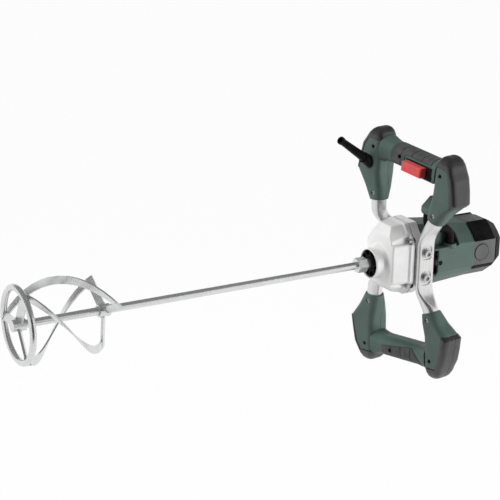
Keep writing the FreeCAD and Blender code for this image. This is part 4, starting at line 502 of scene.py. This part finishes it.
round_rod(upper_x - upper_half)
round_rod(upper_x + upper_half)
round_rod(lower_x + lower_half)
for flight in range(FLIGHTS):
    start = FLIGHT_START + 2 * math.pi * flight / FLIGHTS
    across_bar(ring_x, start, HUB_R, SPOKE_PITCH, SPOKE_THICK)
    across_bar(ring_x, start, ring_r - wire_r, SPOKE_PITCH, SPOKE_THICK)
    across_bar(upper_x, start + FLIGHT_TWIST, upper_r, math.pi / 2 - flight_lead, SPOKE_THICK)
    flight_on_ring(start)
welds = grown("paddle_welds", weld_points, weld_lines, weld_ripples(paddle_steel), WELD_SIZES)
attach(welds, "spindle")

# Spindle and nose insert
# A turned steel spindle stands in the nose mouth, behind a black moulded ring with radial ribs.
# The ring sits in the cover's nose, and the spindle runs in a bearing behind it.


def turned_steel():
    """Steel with the fine rings of a lathe tool."""
    paint, tree, shader = new_finish("turned_steel", metallic=1.0)
    rings = grain(tree, size=0.5, detail=2.0, stretch=(1, 0.05, 0.05))
    coloured_by(tree, shader, rings, dark=(0.42, 0.42, 0.43), light=(0.60, 0.60, 0.61))
    rough_between(tree, shader, rings, low=0.22, high=0.42)
    raised_by(tree, shader, rings, strength=0.15, depth=0.05)
    return paint


def black_moulding_and_painted_shade():
    """Black plastic with a fine matt grain; on the switch surround it is painted shade for a recess in
    shadow.
    """
    paint, tree, shader = new_finish("black_moulding_and_painted_shade")
    shader.inputs["Specular IOR Level"].default_value = 0.1
    patches = grain(tree, size=9)
    coloured_by(tree, shader, patches, dark=(0.004, 0.004, 0.0042), light=(0.008, 0.008, 0.0082))
    fine = grain(tree, size=0.6)
    rough_between(tree, shader, fine, low=0.42, high=0.6)
    raised_by(tree, shader, fine, strength=0.2, depth=0.08)
    return paint


shaft_steel = turned_steel()
black_plastic_and_painted_shade = black_moulding_and_painted_shade()
finished("spindle", shaft_steel, edge=0.4)
finished("nose_insert", black_plastic_and_painted_shade, edge=0.4)

# Gear cover and gear case
# Two blasted aluminium castings with a black gasket between them, held by four socket-head screws.
# The cover has round edges. A second black seal lies between the case and the motor housing.


def cast_aluminium():
    """Blasted casting: pale, with a sandy grain and soft cloudy patches."""
    paint, tree, shader = new_finish("cast_aluminium", metallic=0.35)
    clouds = grain(tree, size=24, detail=5.0)
    coloured_by(tree, shader, clouds, dark=(0.79, 0.79, 0.785), light=(0.85, 0.85, 0.845))
    sand = grain(tree, size=0.9, detail=2.0)
    rough_between(tree, shader, sand, low=0.36, high=0.52)
    raised_by(tree, shader, sand, strength=0.18, depth=0.1, edge_radius=1.5)
    return paint


casting = cast_aluminium()


def rounded(node, paint, grid, passes):
    """A piece under a fine even skin, its grid in millimetres, smoothed until its edges are round."""
    piece = finished(node, paint, edge=0)
    skin = piece.modifiers.new("skin", "REMESH")
    skin.mode = "VOXEL"
    skin.voxel_size = grid * MM
    skin.use_smooth_shade = True
    worn = piece.modifiers.new("worn", "SMOOTH")
    worn.iterations = passes
    graph = bpy.context.evaluated_depsgraph_get()
    mesh = bpy.data.meshes.new_from_object(piece.evaluated_get(graph), depsgraph=graph)
    piece.modifiers.clear()
    mesh.materials.clear()
    mesh.materials.append(paint)
    piece.data = mesh


rounded("gear_cover", casting, grid=1.0, passes=4)
finished("gear_case", casting, edge=0)


def black_rubber():
    """Matt black rubber with a faint bloom."""
    paint, tree, shader = new_finish("black_rubber")
    shader.inputs["Specular IOR Level"].default_value = 0.08
    bloom = grain(tree, size=18, detail=4.0)
    coloured_by(tree, shader, bloom, dark=(0.004, 0.004, 0.0042), light=(0.009, 0.009, 0.0092))
    fine = grain(tree, size=0.5, detail=2.0)
    rough_between(tree, shader, fine, low=0.4, high=0.56)
    raised_by(tree, shader, fine, strength=0.25, depth=0.1)
    return paint


rubber = black_rubber()
finished("gear_gasket", rubber, edge=0)
finished("motor_seal", rubber, edge=0.2)


def zinc_plate():
    """Bright plated fastener steel."""
    paint, tree, shader = new_finish("zinc_plate", metallic=1.0)
    patches = grain(tree, size=2.0)
    coloured_by(tree, shader, patches, dark=(0.50, 0.50, 0.50), light=(0.72, 0.72, 0.71))
    rough_between(tree, shader, patches, low=0.2, high=0.4)
    return paint


fastener = zinc_plate()
finished("cover_screws", fastener, edge=0.4)

# Handle arms
# Two aluminium tubes, pressed flat where two bolts with washers hold each of them to the gear case.
# Their ends stay round and go into the guards of the handles.


def drawn_aluminium():
    """Tumbled tube: brighter than the castings, with faint streaks along it."""
    paint, tree, shader = new_finish("drawn_aluminium", metallic=0.9)
    streaks = grain(tree, size=3.0, detail=4.0, stretch=(1, 1, 0.08))
    coloured_by(tree, shader, streaks, dark=(0.68, 0.68, 0.68), light=(0.76, 0.76, 0.755))
    rough_between(tree, shader, streaks, low=0.26, high=0.38)
    raised_by(tree, shader, streaks, strength=0.06, depth=0.1, edge_radius=1.5)
    return paint


tube = drawn_aluminium()
for node in ("near_arm", "far_arm"):
    finished(node, tube, edge=0)
finished("arm_washers", fastener, edge=0.3)
finished("arm_bolts", fastener, edge=0.6)

# Motor housing
# A dark green moulding with a faceted section, side vents and an arched recess for the hose.
# A dark screw sits beside the vents.


def green_moulding():
    """Dark green nylon with a fine spark-eroded grain."""
    paint, tree, shader = new_finish("green_moulding")
    clouds = grain(tree, size=30, detail=4.0)
    coloured_by(tree, shader, clouds, dark=(0.054, 0.087, 0.074), light=(0.066, 0.104, 0.089))
    fine = grain(tree, size=0.7, detail=2.0)
    rough_between(tree, shader, fine, low=0.42, high=0.6)
    raised_by(tree, shader, fine, strength=0.25, depth=0.1, edge_radius=3.0)
    return paint


green = green_moulding()
finished("motor_housing", green, edge=0)


def dark_steel_and_painted_shade():
    """Dark screw steel; on the handle screws its darkness is painted shade for their holes in shadow."""
    paint, tree, shader = new_finish("dark_steel_and_painted_shade", metallic=0.8)
    patches = grain(tree, size=1.5)
    coloured_by(tree, shader, patches, dark=(0.06, 0.06, 0.06), light=(0.14, 0.14, 0.14))
    rough_between(tree, shader, patches, low=0.3, high=0.5)
    return paint


dark_screw_and_painted_shade = dark_steel_and_painted_shade()
finished("panel_screws", dark_screw_and_painted_shade, edge=0.3)

# Rear cap
# A grey cap over the commutator end, with black rubber on its corners and round brush caps in its sides.
# Its rear face has air slots.


def grey_moulding():
    """Dark grey nylon with a fine grain."""
    paint, tree, shader = new_finish("grey_moulding")
    clouds = grain(tree, size=26, detail=4.0)
    coloured_by(tree, shader, clouds, dark=(0.066, 0.067, 0.068), light=(0.084, 0.085, 0.086))
    fine = grain(tree, size=0.7, detail=2.0)
    rough_between(tree, shader, fine, low=0.42, high=0.6)
    raised_by(tree, shader, fine, strength=0.25, depth=0.1)
    return paint


grey = grey_moulding()
finished("rear_cap", grey, edge=0.8, segments=3, limited=False)
finished("brush_caps", grey, edge=0.6)
rounded("cap_bumper", rubber, grid=0.7, passes=4)

# Handles
# Each D-handle is a front and a rear green shell, screwed together, with rubber on its guards and its bar.
# The rubber is round on the upper guards and has a groove on the lower ones, where the shells meet.
for node in ("top_handle_front", "top_handle_rear", "bottom_handle_front", "bottom_handle_rear"):
    finished(node, green, edge=0)


def guard_rubber():
    """Black rubber of the guards, rubbed to a soft gloss by hands and floors."""
    paint, tree, shader = new_finish("guard_rubber")
    shader.inputs["Specular IOR Level"].default_value = 0.9
    bloom = grain(tree, size=18, detail=4.0)
    coloured_by(tree, shader, bloom, dark=(0.010, 0.010, 0.0105), light=(0.018, 0.018, 0.0185))
    fine = grain(tree, size=0.5, detail=2.0)
    rough_between(tree, shader, fine, low=0.32, high=0.46)
    raised_by(tree, shader, fine, strength=0.12, depth=0.1, edge_radius=4.0)
    return paint


guard_black = guard_rubber()
for node in ("top_near_bumper", "top_far_bumper"):
    rounded(node, guard_black, grid=0.6, passes=12)
for node in ("bottom_near_bumper", "bottom_far_bumper"):
    finished(node, guard_black, edge=0)


def grip_rubber():
    """Soft dark grey rubber with a pebbled surface."""
    paint, tree, shader = new_finish("grip_rubber")
    clouds = grain(tree, size=12, detail=4.0)
    coloured_by(tree, shader, clouds, dark=(0.050, 0.051, 0.052), light=(0.070, 0.071, 0.072))
    fine = grain(tree, size=0.8, detail=2.0)
    rough_between(tree, shader, fine, low=0.55, high=0.75)
    raised_by(tree, shader, fine, strength=0.35, depth=0.12, edge_radius=1.0)
    return paint


grip = grip_rubber()
for node in ("top_grip", "bottom_grip"):
    finished(node, grip, edge=0)

# Handle screws
# Screws coloured dark as painted shade for their holes hold the two shells of each handle together, and
# bright ones hold the arms in the guards.
# All have a six-lobed recess, pressed into the head.
HEAD_FLATNESS = 0.001 * MM
LOBES = 6
RECESS_SIZES = {"Recess Radius": 2.1 * MM, "Recess Depth": 3.2 * MM, "Waist Share": 0.74}
press_way = next(joint["axis"] for joint in frame["record"]["behaviour"]["joints"]
                 if joint["name"] == "trigger_press")
head_way = -Vector(press_way).normalized()


def six_lobes(paint):
    """Tree that puts a six-lobed prism on each point, turned to face the front."""
    tree, given, result = new_tree("six_lobes", (
        ("Recess Radius", "NodeSocketFloat"), ("Recess Depth", "NodeSocketFloat"),
        ("Waist Share", "NodeSocketFloat"), ("Facing", "NodeSocketVector")))
    placed, _, painted = chained(tree, given, "GeometryNodeInstanceOnPoints",
                                 "GeometryNodeRealizeInstances", "GeometryNodeSetMaterial")
    prism = tree.nodes.new("GeometryNodeMeshCylinder")
    prism.inputs["Vertices"].default_value = 2 * LOBES
    tree.links.new(given.outputs["Recess Radius"], prism.inputs["Radius"])
    tree.links.new(given.outputs["Recess Depth"], prism.inputs["Depth"])
    index = tree.nodes.new("GeometryNodeInputIndex")
    odd = tree.nodes.new("ShaderNodeMath")
    odd.operation = "MODULO"
    odd.inputs[1].default_value = 2
    tree.links.new(index.outputs[0], odd.inputs[0])
    position = tree.nodes.new("GeometryNodeInputPosition")
    waist = tree.nodes.new("ShaderNodeCombineXYZ")
    waist.inputs["Z"].default_value = 1
    tree.links.new(given.outputs["Waist Share"], waist.inputs["X"])
    tree.links.new(given.outputs["Waist Share"], waist.inputs["Y"])
    drawn_in = tree.nodes.new("ShaderNodeVectorMath")
    drawn_in.operation = "MULTIPLY"
    tree.links.new(position.outputs[0], drawn_in.inputs[0])
    tree.links.new(waist.outputs[0], drawn_in.inputs[1])
    lobed = tree.nodes.new("GeometryNodeSetPosition")
    tree.links.new(prism.outputs["Mesh"], lobed.inputs["Geometry"])
    tree.links.new(odd.outputs[0], lobed.inputs["Selection"])
    tree.links.new(drawn_in.outputs[0], lobed.inputs["Position"])
    tree.links.new(lobed.outputs[0], placed.inputs["Instance"])
    turned = tree.nodes.new("FunctionNodeAlignRotationToVector")
    turned.axis = "Z"
    tree.links.new(given.outputs["Facing"], turned.inputs["Vector"])
    tree.links.new(turned.outputs[0], placed.inputs["Rotation"])
    painted.inputs["Material"].default_value = paint
    tree.links.new(painted.outputs[0], result.inputs[0])
    return tree


def head_middles(node, way):
    """Middle of the front face of each screw in a node."""
    form = bmesh.new()
    form.from_mesh(frame["nodes"][node].data)
    bmesh.ops.remove_doubles(form, verts=form.verts, dist=MERGE_DISTANCE)
    left = set(form.verts)
    middles = []
    while left:
        found = {left.pop()}
        border = set(found)
        while border:
            border = {line.other_vert(vert) for vert in border for line in vert.link_edges} - found
            found |= border
        left -= found
        reach = max(vert.co.dot(way) for vert in found)
        face = [vert.co for vert in found if vert.co.dot(way) > reach - HEAD_FLATNESS]
        across = way.cross(Vector((0, 0, 1)))
        spans = [[co.dot(line) for co in face] for line in (across, Vector((0, 0, 1)))]
        middles.append(way * reach + across * ((min(spans[0]) + max(spans[0])) / 2)
                       + Vector((0, 0, (min(spans[1]) + max(spans[1])) / 2)))
    form.free()
    return sorted(middles, key=tuple)


def recessed(node, paint):
    """Screws with a six-lobed recess in each head."""
    piece = finished(node, paint, edge=0)
    cutter = grown(node + "_cutter", head_middles(node, head_way), [], six_lobes(paint),
                   {**RECESS_SIZES, "Facing": head_way})
    cut = piece.modifiers.new("recess", "BOOLEAN")
    cut.object = cutter
    cut.solver = "EXACT"
    graph = bpy.context.evaluated_depsgraph_get()
    piece.data = bpy.data.meshes.new_from_object(piece.evaluated_get(graph), depsgraph=graph)
    piece.modifiers.remove(cut)
    bpy.data.objects.remove(cutter)


# The handle screws' dark colour is painted shade, for the shade in their holes.
recessed("handle_screws", dark_screw_and_painted_shade)
recessed("foot_screws", fastener)

# Trigger and switch
# A red push trigger slides under the bar of the upper handle, in front of the switch. The black surround
# beside it is painted shade, a black piece standing for a recess in shadow.
# A spring pushes it back out.


def red_moulding():
    """Red plastic, smooth from use."""
    paint, tree, shader = new_finish("red_moulding")
    clouds = grain(tree, size=10, detail=4.0)
    coloured_by(tree, shader, clouds, dark=(0.58, 0.060, 0.060), light=(0.65, 0.074, 0.072))
    fine = grain(tree, size=0.7, detail=2.0)
    rough_between(tree, shader, fine, low=0.34, high=0.48)
    raised_by(tree, shader, fine, strength=0.15, depth=0.06)
    return paint


finished("trigger", red_moulding(), edge=1.6, segments=4)
# The surround's black is painted shade: a black piece where a recess beside the trigger lies in shadow.
finished("switch_surround", black_plastic_and_painted_shade, edge=0.5)

# Cable sleeve and connecting hose
# Black rubber tubes: the tapered sleeve stands out of the far guard, and the hose joins the near guard
# to the motor housing.
finished("cable_sleeve", rubber, edge=0.4)
finished("connecting_hose", rubber, edge=0)

# Pieces inside
# Gears, bearings, motor and switch are closed in; each has the metal or plastic it is made of.
# They keep the form of their solids.


def lacquered_copper():
    """Copper wire under clear lacquer."""
    paint, tree, shader = new_finish("lacquered_copper", metallic=0.9)
    shader.inputs["Roughness"].default_value = 0.35
    turns = grain(tree, size=1.2, detail=2.0, stretch=(1, 0.2, 0.2))
    coloured_by(tree, shader, turns, dark=(0.36, 0.13, 0.06), light=(0.62, 0.28, 0.14))
    raised_by(tree, shader, turns, strength=0.4, depth=0.3)
    return paint


def core_sheet():
    """Stacked electrical sheet."""
    paint, tree, shader = new_finish("core_sheet", metallic=0.8)
    shader.inputs["Roughness"].default_value = 0.5
    sheets = grain(tree, size=0.8, detail=1.0, stretch=(1, 0.02, 0.02))
    coloured_by(tree, shader, sheets, dark=(0.14, 0.14, 0.15), light=(0.30, 0.30, 0.31))
    raised_by(tree, shader, sheets, strength=0.3, depth=0.2)
    return paint


def drawn_brass():
    """Plain brass sheet."""
    paint, tree, shader = new_finish("drawn_brass", metallic=1.0)
    streaks = grain(tree, size=1.5, detail=3.0, stretch=(1, 0.1, 1))
    coloured_by(tree, shader, streaks, dark=(0.50, 0.34, 0.12), light=(0.68, 0.50, 0.22))
    rough_between(tree, shader, streaks, low=0.25, high=0.4)
    return paint


def pressed_carbon():
    """Grey-black pressed carbon."""
    paint, tree, shader = new_finish("pressed_carbon", metallic=0.2)
    grit = grain(tree, size=0.6)
    coloured_by(tree, shader, grit, dark=(0.02, 0.02, 0.02), light=(0.06, 0.06, 0.06))
    rough_between(tree, shader, grit, low=0.5, high=0.75)
    return paint


INNER_FINISHES = {
    "machined_steel": shaft_steel,
    "core_sheet": core_sheet(),
    "copper": lacquered_copper(),
    "brass": drawn_brass(),
    "carbon": pressed_carbon(),
    "black_plastic": black_plastic_and_painted_shade,
}
for node, piece in frame["nodes"].items():
    if not piece.hide_render:
        piece.data.materials.clear()
        piece.data.materials.append(INNER_FINISHES[slot_of_node[node]])
